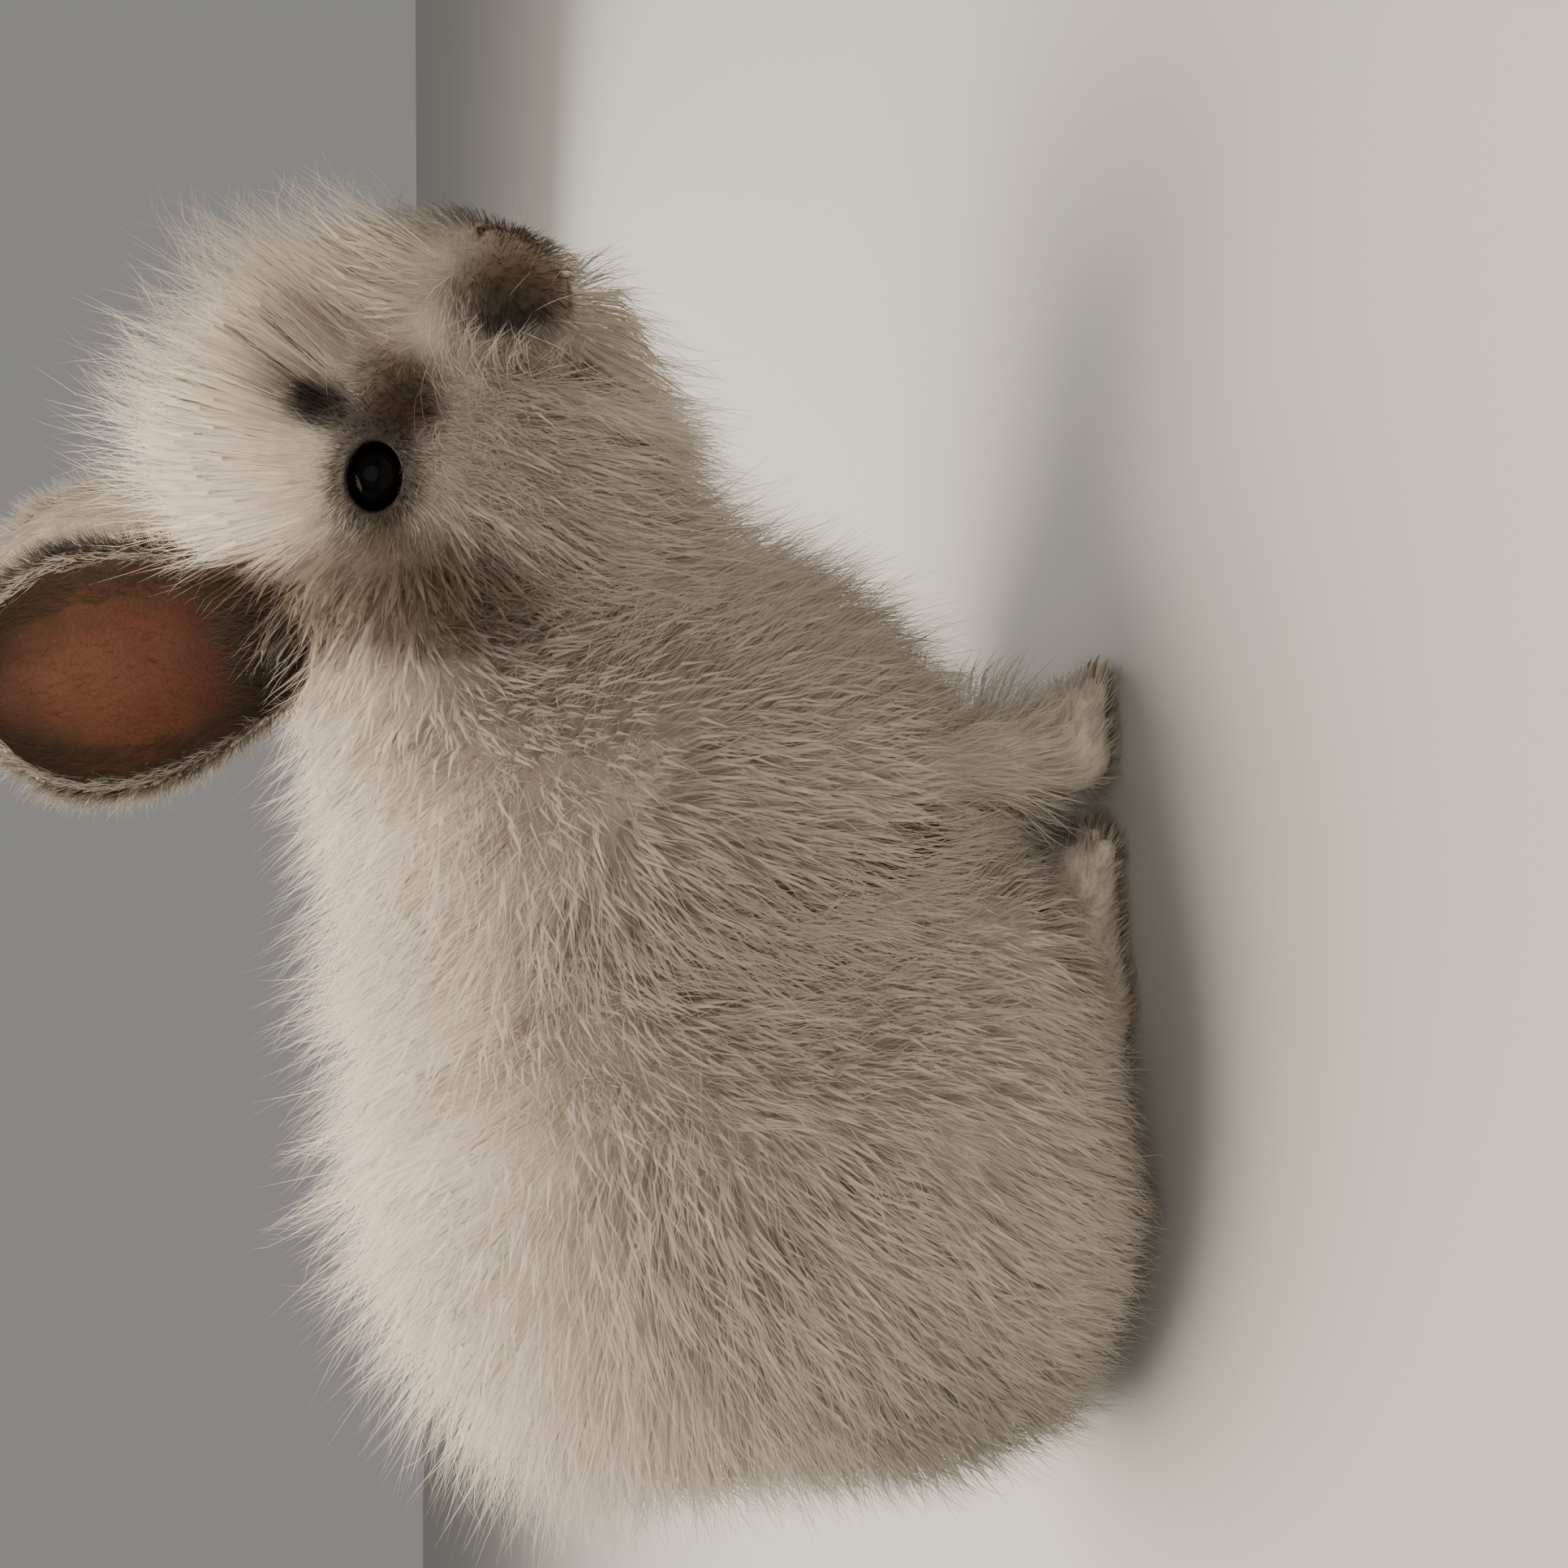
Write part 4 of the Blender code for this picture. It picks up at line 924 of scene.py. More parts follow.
def joined(groups):
    """Corners, faces, patches and the rest of several groups of hairs, in one set of arrays."""
    parts = {"corners": [], "normals": [], "colour": [], "faces": [], "uv": []}
    start = 0
    for hairs, at in groups:
        count, size, _ = hairs.corners.shape
        faces = hairs.faces[None] + (np.arange(count) * size)[:, None, None] + start
        for key in ("corners", "normals", "colour"):
            parts[key].append(getattr(hairs, key).reshape(-1, 3))
        parts["faces"].append(faces.reshape(-1, 3))
        uv = at[:, None, None, :] + (hairs.patch[None] - 0.5) * PATCH_SIZE
        parts["uv"].append(uv.reshape(-1, 2))
        start += count * size
    return {key: np.concatenate(value) for key, value in parts.items()}


def coat_object(name, groups, material):
    """One piece of the coat, with its map for baking, its soft normals and its colours."""
    data = joined(groups)
    thing = mesh_object(name, data["corners"], data["faces"])
    mesh = thing.data
    layer = mesh.uv_layers.new(name="OFBake")
    layer.data.foreach_set("uv", np.clip(data["uv"], 0.0005, 0.9995).astype(np.float32).ravel())
    paint(mesh, data["colour"])
    mesh.normals_split_custom_set_from_vertices(data["normals"].tolist())
    mesh.materials.append(material)
    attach(thing, "root")


def rows_of(items, key, width, kind=np.float32):
    """One value of every item of a mesh, as the rows of an array."""
    values = np.zeros(len(items) * width, kind)
    items.foreach_get(key, values)
    return values.reshape(-1, width)


class Unwrap:
    """A flat map of the skin, made on a copy with fewer faces."""

    triangles_kept = 7000

    def __init__(self, skin_object):
        copy = skin_object.copy()
        copy.data = skin_object.data.copy()
        bpy.context.scene.collection.objects.link(copy)
        step = copy.modifiers.new("fewer", "DECIMATE")
        step.ratio = self.triangles_kept / (2 * len(copy.data.polygons))
        graph = bpy.context.evaluated_depsgraph_get()
        mesh = bpy.data.meshes.new_from_object(copy.evaluated_get(graph))
        copy.modifiers.clear()
        copy.data = mesh
        bpy.context.view_layer.objects.active = copy
        copy.select_set(True)
        bpy.ops.object.mode_set(mode="EDIT")
        bpy.ops.mesh.select_all(action="SELECT")
        bpy.ops.uv.smart_project(angle_limit=math.radians(66), island_margin=0.002)
        bpy.ops.object.mode_set(mode="OBJECT")
        mesh.calc_loop_triangles()
        triangles = rows_of(mesh.loop_triangles, "vertices", 3, np.int32)
        loops = rows_of(mesh.loop_triangles, "loops", 3, np.int32)
        place = rows_of(mesh.vertices, "co", 3)
        self.triangles = place[triangles].astype(float)
        self.uv = rows_of(mesh.uv_layers.active.data, "uv", 2)[loops].astype(float)
        self.tree = BVHTree.FromPolygons(place.tolist(), triangles.tolist())
        bpy.data.objects.remove(copy)

    def at(self, roots):
        """The map's places for roots on the skin, in the body's frame."""
        found = [self.tree.find_nearest(point) for point in (roots + SHIFT).tolist()]
        place = np.array([tuple(hit[0]) for hit in found])
        face = np.array([hit[2] for hit in found])
        a, b, c = (self.triangles[face, i] for i in range(3))
        whole = np.cross(b - a, c - a)
        scale = np.maximum((whole**2).sum(1), 1e-20)
        second = (np.cross(place - a, c - a) * whole).sum(1) / scale
        third = (np.cross(b - a, place - a) * whole).sum(1) / scale
        share = np.column_stack((1 - second - third, second, third))
        return (self.uv[face] * np.clip(share, 0, 1)[..., None]).sum(1)


# The bare grooves: course and radius.
BARE_GROOVES = ((NOSTRIL, 1.15), (CLEFT, 0.9), (MOUTH[:3], 1.0))


def bare(p):
    """Whether a root lies between the lids, in the nostrils or the mouth, on an ear or under a foot."""
    q = mirrored(in_head(p))
    grooves = np.minimum.reduce([chain(q, places, radius) for places, radius in BARE_GROOVES])
    off = np.linalg.norm(q - EYE_AT, axis=1)
    eye = (eye_opening(q) < 0.15 * MM) & (off < 14 * MM) | (off < EYE_RADIUS * MM)
    ear = ear_distance(p) < 0.6 * MM
    for side, _ in SIDES:
        root, axis, opening, _ = ear_frame(side)
        off_root = in_head(p) / MM - root
        ear |= (np.linalg.norm(off_root, axis=1) < 17) & (off_root @ opening > -1.5) & (off_root @ axis > -6)
    return near_head(p, FACE_REACH) & (eye | (grooves < 0.4 * MM)) | ear | (p[:, 2] < 1.2 * MM)


def shaded(colour, rng, by=0.07):
    """Colours with each hair a little lighter or darker."""
    shape = (len(colour),) + (1,) * (colour.ndim - 1)
    return np.clip(colour * rng.normal(1, by, shape), 0, 0.93)


# How the hairs of one layer are made: rings, width, shortest and longest share of their guides, how far they
# are drawn together, the height and length of their waves, how far they stray and rise, how thick they are for
# their width, the tilt of their soft normals and how pale they are, which for the wool is painted light that
# lifts the shade deep in the coat.
Style = namedtuple(
    "Style", "rings width length clump wave stray fuzz thick tilt pale",
    defaults=(0.25, (0.5, 12), 0.06, 0.0, 0.9, 0.16, 1.0),
)

# Painted light: the wool's colour is raised by 7 % to lift the shade deep in the coat.
WOOL_STYLE = Style(2, 1.2, (0.75, 1.0), 0.0, (0.4, 18), 0.08, 0.0, 0.5, 0.12, 1.07)
FINE_STYLE = Style(2, 0.25, (0.72, 1.02), 0.0, (0.8, 14), 0.19, 0.06)
WAVE_STYLE = Style(4, 0.17, (0.80, 1.06), 0.22, (1.2, 9), 0.10, 0.05)
HEAD_STYLE = Style(3, 0.165, (0.66, 1.02), 0.0, (1.3, 6), 0.20, 0.09)
CURL_STYLE = Style(6, 0.17, (0.80, 1.08), 0.45, (1.3, 6), 0.07, 0.08)
WISP_STYLE = Style(6, 0.17, (1.02, 1.18), 0.55, (1.3, 12), 0.06, 0.05)
FUZZ_STYLE = Style(3, 0.13, (0.92, 1.10), 0.05, (1.0, 8), 0.15, 0.10)
FACE_STYLE = Style(2, 0.24, (0.8, 1.3), 0.10, (0.12, 6), 0.14, 0.12)
FOOT_STYLE = Style(2, 0.28, (0.8, 1.3), 0.15, (0.3, 8), 0.10, 0.10)
FLOOR_ROOM = 0.6


def grown_hairs(roots, near, share_of, path, upward, style, rng):
    """Hairs that run as the guides round their roots do, drawn together towards the tips, waved and strayed."""
    count = len(roots)
    length = rng.uniform(*style.length, count)
    share = np.linspace(0, 1, style.rings + 1)[None] ** 0.75 * length[:, None]
    course = 0
    out = 0
    for k in range(near.shape[1]):
        along = at_shares(path[near[:, k]], share)
        part = share_of[:, k, None, None]
        course = course + (along - path[near[:, k], 0][:, None]) * part
        out = out + at_shares(upward[near[:, k]], np.minimum(share, 1)) * part
        if k == 0:
            first = along
    out = unit(out)
    line = roots[:, None] + course
    clump = np.clip(rng.normal(style.clump, 0.08, count), 0, 0.9)[:, None] * np.clip(share, 0, 1) ** 1.2
    line = line + (first - line) * clump[..., None]
    side = unit(np.cross(out, unit(np.gradient(line, axis=1))))
    size = np.linalg.norm(course[:, -1], axis=1)
    high, period = style.wave
    swing = high * MM * rng.uniform(0.5, 1.5, count) * np.clip(size / (18 * MM), 0.15, 1)
    turn = share * (size / (period * MM))[:, None] * 2 * math.pi
    turn = turn + rng.uniform(0, 2 * math.pi, len(path))[near[:, 0]][:, None]
    turn = turn + rng.normal(0, 0.8, count)[:, None]
    swing = swing[:, None] * np.clip(share * 1.4, 0, 1)
    line = line + side * (np.sin(turn) * swing)[..., None] + out * (np.cos(turn) * swing * 0.6)[..., None]
    way = np.clip(rng.normal(0, 1, (count, 1, 3)), -1.8, 1.8) * (style.stray * size)[:, None, None]
    line = line + way * (share**1.6)[..., None]
    rise = np.clip(np.abs(rng.normal(0, 1, count)), 0, 1.8) * style.fuzz * size
    line = line + out * (rise[:, None] * share**2)[..., None]
    low = FLOOR_ROOM * MM + 0.5 * MM * rng.random((count, 1))
    line[..., 2] = np.where(line[..., 2] < low, low + 0.08 * np.abs(line[..., 2] - low), line[..., 2])
    return line, out


EAR_DARK = (0.075, 0.044, 0.026)
EAR_BROWN = (0.135, 0.098, 0.062)
EAR_PINK = (0.23, 0.076, 0.034)
EAR_CUP_SHADE = (0.14, 0.040, 0.020)
LID_RIM = (0.022, 0.016, 0.013)
MOUTH_RED = (0.09, 0.035, 0.027)


EAR_HAIR_RINGS = 2


def ear_places(side, t, across):
    """Places on an ear's sheet with its inward way and the way to its tip."""
    place, inward = ear_sheet(side, t, across)
    up, _ = ear_sheet(side, np.minimum(t + 1e-3, 1), across)
    down, _ = ear_sheet(side, np.maximum(t - 1e-3, 0), across)
    return place, inward, unit(up - down)


def ear_coat(side, rng):
    """The ear's hair: over its back, round its rim, along the inner margin, before its root and in its cup."""
    groups = []
    half = EAR_WALL / 2 * MM

    def group(number, low, across, shades, amount, face, lie_of, rise, length, width, spread):
        """One sort of hair: where it grows, its two colours, its side of the ear, its lie, rise and size."""
        t = low[0] + (low[1] - low[0]) * rng.random(number) ** 0.85
        place, inward, along = ear_places(side, t, across)
        inner, _ = ear_sheet(side, t, across - np.sign(across) * 0.04)
        outward = unit(np.cross(along, inward))
        outward *= np.sign(((place - inner) * outward).sum(1))[:, None]
        normal = inward * (1 if face > 0 else -1)
        root = place + inward * half * face
        lie = outward * lie_of[0] + along * rng.uniform(*lie_of[1], (number, 1))
        lie = lie + inward * rng.normal(*lie_of[2], (number, 1))
        lie = unit(unit(lie) + rng.normal(0, spread, lie.shape))
        long = rng.uniform(*length, number) * MM
        up = rng.uniform(*rise, number) * MM
        share = np.linspace(0, 1, EAR_HAIR_RINGS + 1)
        path = root[:, None] + lie[:, None] * (long[:, None] * share**1.1)[..., None]
        path = path + normal[:, None] * (up[:, None] * share**0.8)[..., None]
        colour = mixed(np.tile(shades[0], (number, 1)), shades[1], amount, rng.random(number))
        wide = width * MM * rng.uniform(0.7, 1.3, number)
        upward = np.repeat(normal[:, None], EAR_HAIR_RINGS + 1, 1)
        colour = shaded(colour, rng, 0.05)
        groups.append(Hairs(path, upward, wide, root, colour, 0.5, int(rng.integers(1e6)), 0.7))

    number = 2400
    group(number, (0.05, 1), rng.uniform(-0.5, 0.5, number), (WHITE, SMOKE), 0.15, -1,
          (0.1, (0.9, 1.1), (0, 0.1)), (1.0, 4.0), (6, 11), 0.38, 0.16)
    edge = rng.choice([-1.0, 1.0], number)
    group(number, (0.06, 1), edge * rng.uniform(0.47, 0.5, number), (WHITE, SMOKE), 0.15, 0,
          (1.0, (0.2, 0.9), (-0.05, 0.34)), (0.2, 1.6), (4.5, 9.0), 0.24, 0.24)
    number = 2000
    inset = rng.random(number) ** 1.4 * 0.22
    edge = rng.choice([-1.0, 1.0], number)
    pale = 1 - smooth(0.02, 0.09, inset)
    group(number, (0.05, 1), edge * (0.5 - inset), (EAR_BROWN, WHITE), pale, 1,
          (0.45, (0.5, 1.2), (0.0, 0.12)), (0.6, 2.0), (2.5, 5.5), 0.24, 0.22)
    number = 1300
    group(number, (0.03, 0.24), rng.uniform(-0.5, 0.5, number), (EAR_BROWN, SMOKE), 0.35, 1,
          (0.1, (0.7, 1.2), (0.0, 0.2)), (1.5, 5.0), (5, 11), 0.24, 0.25)
    number = 700
    group(number, (0.2, 0.97), rng.uniform(-0.40, 0.40, number), (EAR_PINK, SMOKE), 0.3, 1,
          (0.2, (0.7, 1.2), (0.0, 0.1)), (0.2, 0.9), (2.5, 5.0), 0.15, 0.3)
    return groups


def skin_colours(corners):
    """The skin's colours, which repeat the coat's markings and painted shade, with painted shade deep in the
    ears' cups, and how bare each place is.
    """
    colour = marked(corners) * 0.93
    q = mirrored(in_head(corners))
    head = near_head(corners, FACE_REACH)
    off = np.linalg.norm(q - EYE_AT, axis=1)
    rim = head * smooth(1.5 * MM, 0.4 * MM, eye_opening(q)) * (off < 16 * MM)
    colour = mixed(colour, LID_RIM, rim)
    deep = head * smooth(1.0 * MM, 0.2 * MM, np.minimum(chain(q, NOSTRIL, 1.15), chain(q, MOUTH, 0.9)))
    colour = mixed(colour, MOUTH_RED, deep)
    naked = np.maximum(rim, deep)
    for side in (-1, 1):
        root, axis, opening, _ = ear_frame(side)
        off_root = in_head(corners) / MM - root
        cup = smooth(18, 14, np.linalg.norm(off_root, axis=1))
        cup = cup * smooth(-3, 0, off_root @ opening) * smooth(-8, -4, off_root @ axis)
        colour = mixed(colour, EAR_DARK, cup)
        t, across, place, inward = EARS[side]
        room = 4 * MM
        near = np.nonzero(((corners > place.min(0) - room) & (corners < place.max(0) + room)).all(1))[0]
        number, off = nearest(EAR_TREES[side], corners[near])
        number = number.astype(int)
        on_ear = off < 2.2 * MM
        near, number = near[on_ear], number[on_ear]
        within = ((corners[near] - place[number]) * inward[number]).sum(1) > 0.1 * MM
        uneven = 0.10 * waves(corners[near], 7, 13)
        dark = smooth(0.20, 1.05, np.hypot(across[number] / 0.47, (t[number] - 0.57) / 0.46) + uneven)
        # Painted shade: the inside of the ear darkens towards its root, deep in the cup.
        centre = smooth(0.75, 0.30, t[number] + 0.08 * waves(corners[near], 9, 12)) * 0.8
        inner = mixed(mixed(np.array(EAR_PINK), EAR_CUP_SHADE, centre), EAR_DARK, dark)
        colour[near] = np.where(within[:, None], inner, np.array(PINK) * 0.2 + np.array(WHITE) * 0.8)
        naked[near] = np.where(within, 1 - dark, 0.2)
    return colour, naked


class Surface:
    """A new material with its shader, and short ways to add nodes and links to it."""

    def __init__(self, name, **inputs):
        self.material = bpy.data.materials.new(name)
        self.material.use_nodes = True
        self.tree = self.material.node_tree
        self.shader = self.tree.nodes["Principled BSDF"]
        self.put(self.shader, {key.replace("_", " "): value for key, value in inputs.items()})

    def put(self, node, inputs):
        """Sets a node's inputs, each to a value or to another node's output."""
        for key, value in inputs.items():
            if isinstance(value, bpy.types.NodeSocket):
                self.tree.links.new(value, node.inputs[key])
            else:
                node.inputs[key].default_value = value

    def add(self, kind, inputs=(), **settings):
        node = self.tree.nodes.new("ShaderNode" + kind)
        for key, value in settings.items():
            setattr(node, key, value)
        self.put(node, dict(inputs))
        return node

    def place(self):
        return self.add("TexCoord").outputs["Object"]

    def noise(self, scale, detail):
        """Noise over the object's own places."""
        return self.add("TexNoise", {"Vector": self.place(), "Scale": scale, "Detail": detail}).outputs["Fac"]

    def spread(self, value, low, high):
        """A value from 0 to 1, carried over to these ends."""
        return self.add("MapRange", {"Value": value, "To Min": low, "To Max": high}).outputs["Result"]

    def named(self, name, output):
        """The mesh's attribute of this name."""
        return self.add("Attribute", attribute_name=name).outputs[output]

    def tinted(self, scale, low, high):
        """The mesh's own tint as the base colour, lighter and darker in lumps of this scale."""
        uneven = self.spread(self.noise(scale, 3), low, high)
        colour = self.add("VectorMath", {0: self.named("tint", "Color"), "Scale": uneven}, operation="SCALE")
        self.put(self.shader, {"Base Color": colour.outputs["Vector"]})
        return colour.outputs["Vector"]


LET_THROUGH = 0.36


def coat_material(name, roughness):
    """Hair: its own tint, a little uneven, with some light let through."""
    hair = Surface(name, Roughness=roughness, Specular_IOR_Level=0.25)
    colour = hair.tinted(260, 0.90, 1.08)
    through = hair.add("BsdfTranslucent", {"Color": colour})
    lit, passed = hair.shader.outputs["BSDF"], through.outputs["BSDF"]
    both = hair.add("MixShader", {"Fac": LET_THROUGH, 1: lit, 2: passed})
    hair.put(hair.tree.nodes["Material Output"], {"Surface": both.outputs["Shader"]})
    return hair.material


def skin_material():
    """Skin with pores and short flat fur as bump, smoother where it is bare."""
    skin = Surface("skin", Specular_IOR_Level=0.35)
    skin.tinted(120, 0.82, 1.14)
    bump = skin.add("Bump", {"Strength": 0.5, "Distance": 0.0006, "Height": skin.noise(900, 4)})
    rough = skin.spread(skin.named("bare", "Fac"), 0.85, 0.48)
    skin.put(skin.shader, {"Roughness": rough, "Normal": bump.outputs["Normal"]})
    return skin.material


def make_skin():
    corners, quads = skin_mesh()
    thing = mesh_object("skin", corners, quads)
    colour, naked = skin_colours(corners)
    paint(thing.data, colour)
    share = thing.data.attributes.new("bare", "FLOAT", "POINT")
    share.data.foreach_set("value", naked.astype(np.float32))
    thing.data.materials.append(skin_material())
    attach(thing, "root")
    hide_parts("torso", "neck", "head", "tail", "hind_leg_L", "hind_leg_R", "foreleg_L", "foreleg_R",
                "ear_L", "ear_R")
    return thing, Skin(corners, quads)


# Tufts that stand out of the coat: root, tip and bow in millimetres of the body's frame, and how many hairs.
TRESSES = (
    ((-94, -8, 184), (-113, -12, 221), (-4, 0, 4), 50),
    ((-84, 6, 186), (-95, 9, 218), (-3, 0, 3), 36),
    ((-106, -14, 180), (-127, -20, 213), (-4, 0, 3), 40),
    ((-132, 10, 170), (-156, 15, 196), (-4, 0, 4), 34),
    ((-122, -22, 172), (-147, -30, 199), (-4, 0, 3), 34),
    ((-46, -8, 188), (-64, -12, 215), (-4, 0, 3), 30),
    ((-26, -16, 186), (-45, -22, 213), (-4, 0, 3), 26),
    ((-8, -8, 188), (-27, -14, 213), (-4, 0, 3), 30),
    ((-30, 12, 188), (-46, 18, 212), (-4, 0, 3), 28),
    ((-150, -8, 150), (-187, -12, 173), (-2, 0, 5), 44),
    ((-156, 6, 140), (-198, 8, 158), (-2, 0, 5), 44),
    ((-158, -14, 128), (-199, -20, 143), (-2, 0, 5), 44),
    ((-160, 14, 112), (-197, 20, 122), (-2, 0, 5), 36),
    ((-78, -66, 118), (-86, -99, 90), (0, -7, 3), 26),
    ((-60, -66, 116), (-62, -98, 86), (0, -7, 3), 26),
    ((-38, -62, 108), (-44, -91, 80), (0, -6, 3), 22),
    ((-74, 66, 112), (-80, 99, 86), (0, 7, 3), 24),
    ((-46, 64, 110), (-52, 96, 82), (0, 7, 3), 22),
)
HEAD_TRESSES = (
    ((31, 9, 26), (47, 13, 55), (-5, 0, 4), 40),
    ((34, 11, 26), (51, 16, 51), (-6, 0, 3), 40),
    ((33, 5, 28), (44, 8, 52), (-3, 0, 5), 34),
    ((38, 2, 20), (56, 2, 40), (-3, 0, 4), 30),
    ((42, 5, 12), (63, 9, 28), (-2, 0, 5), 30),
    ((22, -8, 34), (34, -12, 60), (-3, 0, 3), 26),
    ((46, 6, 6), (66, 10, 14), (0, 0, 4), 26),
    ((48, 3, 0), (68, 5, 3), (0, 0, 4), 24),
    ((8, 12, 46), (18, 18, 67), (-2, 0, 2), 26),
    ((-2, 6, 46), (4, 10, 70), (-2, 0, 2), 26),
)
# Pale hairs of both cheeks that cross the dark patch's hind edge.
CHEEK_TRESSES = (
    ((30, 22, -17), (44, 24, -17), (0, 3, 3), 16),
    ((30, 21, -23), (44, 23, -24), (0, 4, 3), 20),
    ((30, 21, -29), (45, 22, -31), (0, 4, 3), 22),
    ((31, 20, -35), (45, 20, -40), (0, 4, 2), 24),
    ((27, 22, -33), (38, 24, -43), (0, 4, 2), 24),
    ((36, 16, -40), (49, 15, -48), (0, 3, 1), 24),
    ((20, 24, -10), (33, 26, -9), (0, 2, 3), 16),
    ((-3, 27, -15), (6, 31, -19), (0, 2, 3), 22),
    ((4, 26, -14), (14, 30, -18), (0, 2, 3), 22),
    ((11, 25, -12), (21, 28, -15), (0, 2, 3), 20),
)
TRESS_RINGS = 7
TRESS_WIDTH = 0.18


def tress_hairs(rng):
    """The hairs of the tufts that stand out, gathered towards each tuft's tip and a little curled."""
    rows = [tuple(np.multiply(row[:3], MM)) + row[3:] for row in TRESSES]
    both = list(HEAD_TRESSES)
    for row in CHEEK_TRESSES:
        for side in (-1, 1):
            both.append([np.multiply(place, (1, side, 1)) for place in row[:3]] + [row[3]])
    for root, tip, bow, number in both:
        at = from_head(np.multiply((root, tip), MM))
        rows.append((at[0], at[1], HEAD_TURN @ np.multiply(bow, MM), number))
    share = np.linspace(0, 1, TRESS_RINGS + 1)[None, :, None]
    paths = []
    for root, tip, bow, number in rows:
        length = np.linalg.norm(tip - root)
        begin = root + rng.normal(0, 4.0 * MM, (number, 1, 3))
        apart = np.clip(rng.normal(0, 1, (number, 1, 3)), -1.6, 1.6) * min(0.075 * length, 2.6 * MM)
        end = tip + apart + (tip - root) * rng.uniform(-0.45, 0.04, (number, 1, 1))
        line = begin + (end - begin) * share + bow * np.sin(math.pi * share)
        turn = share * length / (9 * MM) * 2 * math.pi + rng.uniform(0, 1.5, (number, 1, 1))
        swing = 1.0 * MM * share * rng.uniform(0.4, 1.3, (number, 1, 1))
        side = unit(np.cross(tip - root, (0.3, 0.5, 0.8)))
        paths.append(line + side * np.sin(turn) * swing + bow / length * np.cos(turn) * swing * 3)
    path = np.concatenate(paths)
    upward = unit(gradient(body_flesh, path.reshape(-1, 3), 1.0 * MM)).reshape(path.shape)
    wide = TRESS_WIDTH * MM * rng.uniform(0.6, 1.2, len(path))
    colour = shaded(marked(path[:, 0]), rng, 0.03)
    return Hairs(path, upward, wide, path[:, 0], colour, 0.5, 11, 0.9, 0.35)


# How many guides and hairs of each layer there are.
GUIDES = 14000
WOOL = 14000
FINE = 38000
WAVY = 6000
HEAD_HAIR = 12500
CURLS = 2000
WISPS = 900
FUZZ = 5200
FACE_FUR = 13000
FOOT_FUR = 10500
# How many guides each hair follows at once.
BLENDED = 3
# Wool tufts grow only where the coat is deeper than this.
WOOL_DEPTH = 10.5
CHEEK = (12, 22, -24)
CHEEK_REACH = 20


def make_coat(unwrap, skin):
    """All the hair of the body, face and feet, and of the ears."""
    rng = np.random.default_rng(SEED)
    middle = skin.middle
    normal = face_normals(skin)
    depth, _, _, leg = groom(middle, normal)
    haired = ~bare(middle)
    head = near_head(middle, HEAD_HAIR_REACH)
    long = (depth > LONG_FUR * MM) & ~leg & haired
    short = (depth <= LONG_FUR * MM) & ~leg & haired
    foot = leg & haired
    q = mirrored(in_head(middle))
    cheek = np.exp(-(((q - np.multiply(CHEEK, MM)) / (CHEEK_REACH * MM)) ** 2).sum(1)) * long
    near_eye = np.where(head & (eye_off(q) < EYE_FUR[1] + 1), 2.0, 1.0)
    under = smooth(-0.3, -0.95, normal[:, 2]) * smooth(70, 40, middle[:, 2] / MM)
    long = long * (1 - 0.65 * under)
    weight = long * np.where(head, 2.2, 1.0) + short * 3.0 * near_eye + foot * 2.0
    roots, way = skin.drawn(GUIDES, weight, rng)
    coat_there = groom(roots, way)
    flows = {}
    for flow in (WOOL_FLOW, HAIR_FLOW, WAVE_FLOW):
        flows[flow] = guides(roots, way, coat_there, flow, rng)
    tree = tree_of(roots)

    def layer(number, where, style, flow=HAIR_FLOW):
        path, upward = flows[flow]
        root, _ = skin.drawn(number, where, rng)
        near, off = nearest_few(tree, root, BLENDED)
        part = 1 / (off + 0.4 * MM) ** 2
        line, up = grown_hairs(root, near, part / part.sum(1)[:, None], path, upward, style, rng)
        wide = style.width * MM * rng.uniform(0.7, 1.3, number)
        chance = np.repeat(rng.random(number), line.shape[1])
        colour = marked(line.reshape(-1, 3), chance).reshape(line.shape)
        # style.pale raises the colour; for the wool it is painted light.
        colour = shaded(colour * style.pale, rng, 0.03)
        hairs = Hairs(line, up, wide, root, colour, 0.4, int(rng.integers(1e6)), style.thick, style.tilt)
        return hairs, unwrap.at(root)

    deep = long * (depth > WOOL_DEPTH * MM)
    wool = layer(WOOL, deep * np.where(head, 1.3, 1.0), WOOL_STYLE, WOOL_FLOW)
    layers = (
        layer(FINE, long * ~head, FINE_STYLE),
        layer(WAVY, long * ~head, WAVE_STYLE, WAVE_FLOW),
        layer(HEAD_HAIR, long * head, HEAD_STYLE),
        layer(CURLS, cheek, CURL_STYLE),
        layer(WISPS, long * np.where(head, 1.5, 1.0), WISP_STYLE),
        layer(FUZZ, long * np.where(head, 1.5, 1.0), FUZZ_STYLE),
    )
    tresses = tress_hairs(rng)
    layers += ((tresses, unwrap.at(tresses.roots)),)
    white = coat_material("wool", 0.62)
    pieced("coat_wool", [wool], white)
    pieced("coat_over", layers, white)
    pieced("coat_face", [layer(FACE_FUR, short * near_eye, FACE_STYLE)], white)
    pieced("coat_feet", [layer(FOOT_FUR, foot, FOOT_STYLE)], white)
    for side, name in SIDES:
        groups = [(hairs, unwrap.at(hairs.roots)) for hairs in ear_coat(side, rng)]
        coat_object("coat_ear_" + name, groups, white)


def face_normals(skin):
    total = np.zeros_like(skin.middle)
    for i in range(4):
        total += skin.normal[skin.quads[:, i]]
    return unit(total)


class Part:
    """Some of the hairs of a group."""

    def __init__(self, hairs, chosen):
        self.corners = hairs.corners[chosen]
        self.normals = hairs.normals[chosen]
        self.colour = hairs.colour[chosen]
        self.faces = hairs.faces
        self.patch = hairs.patch


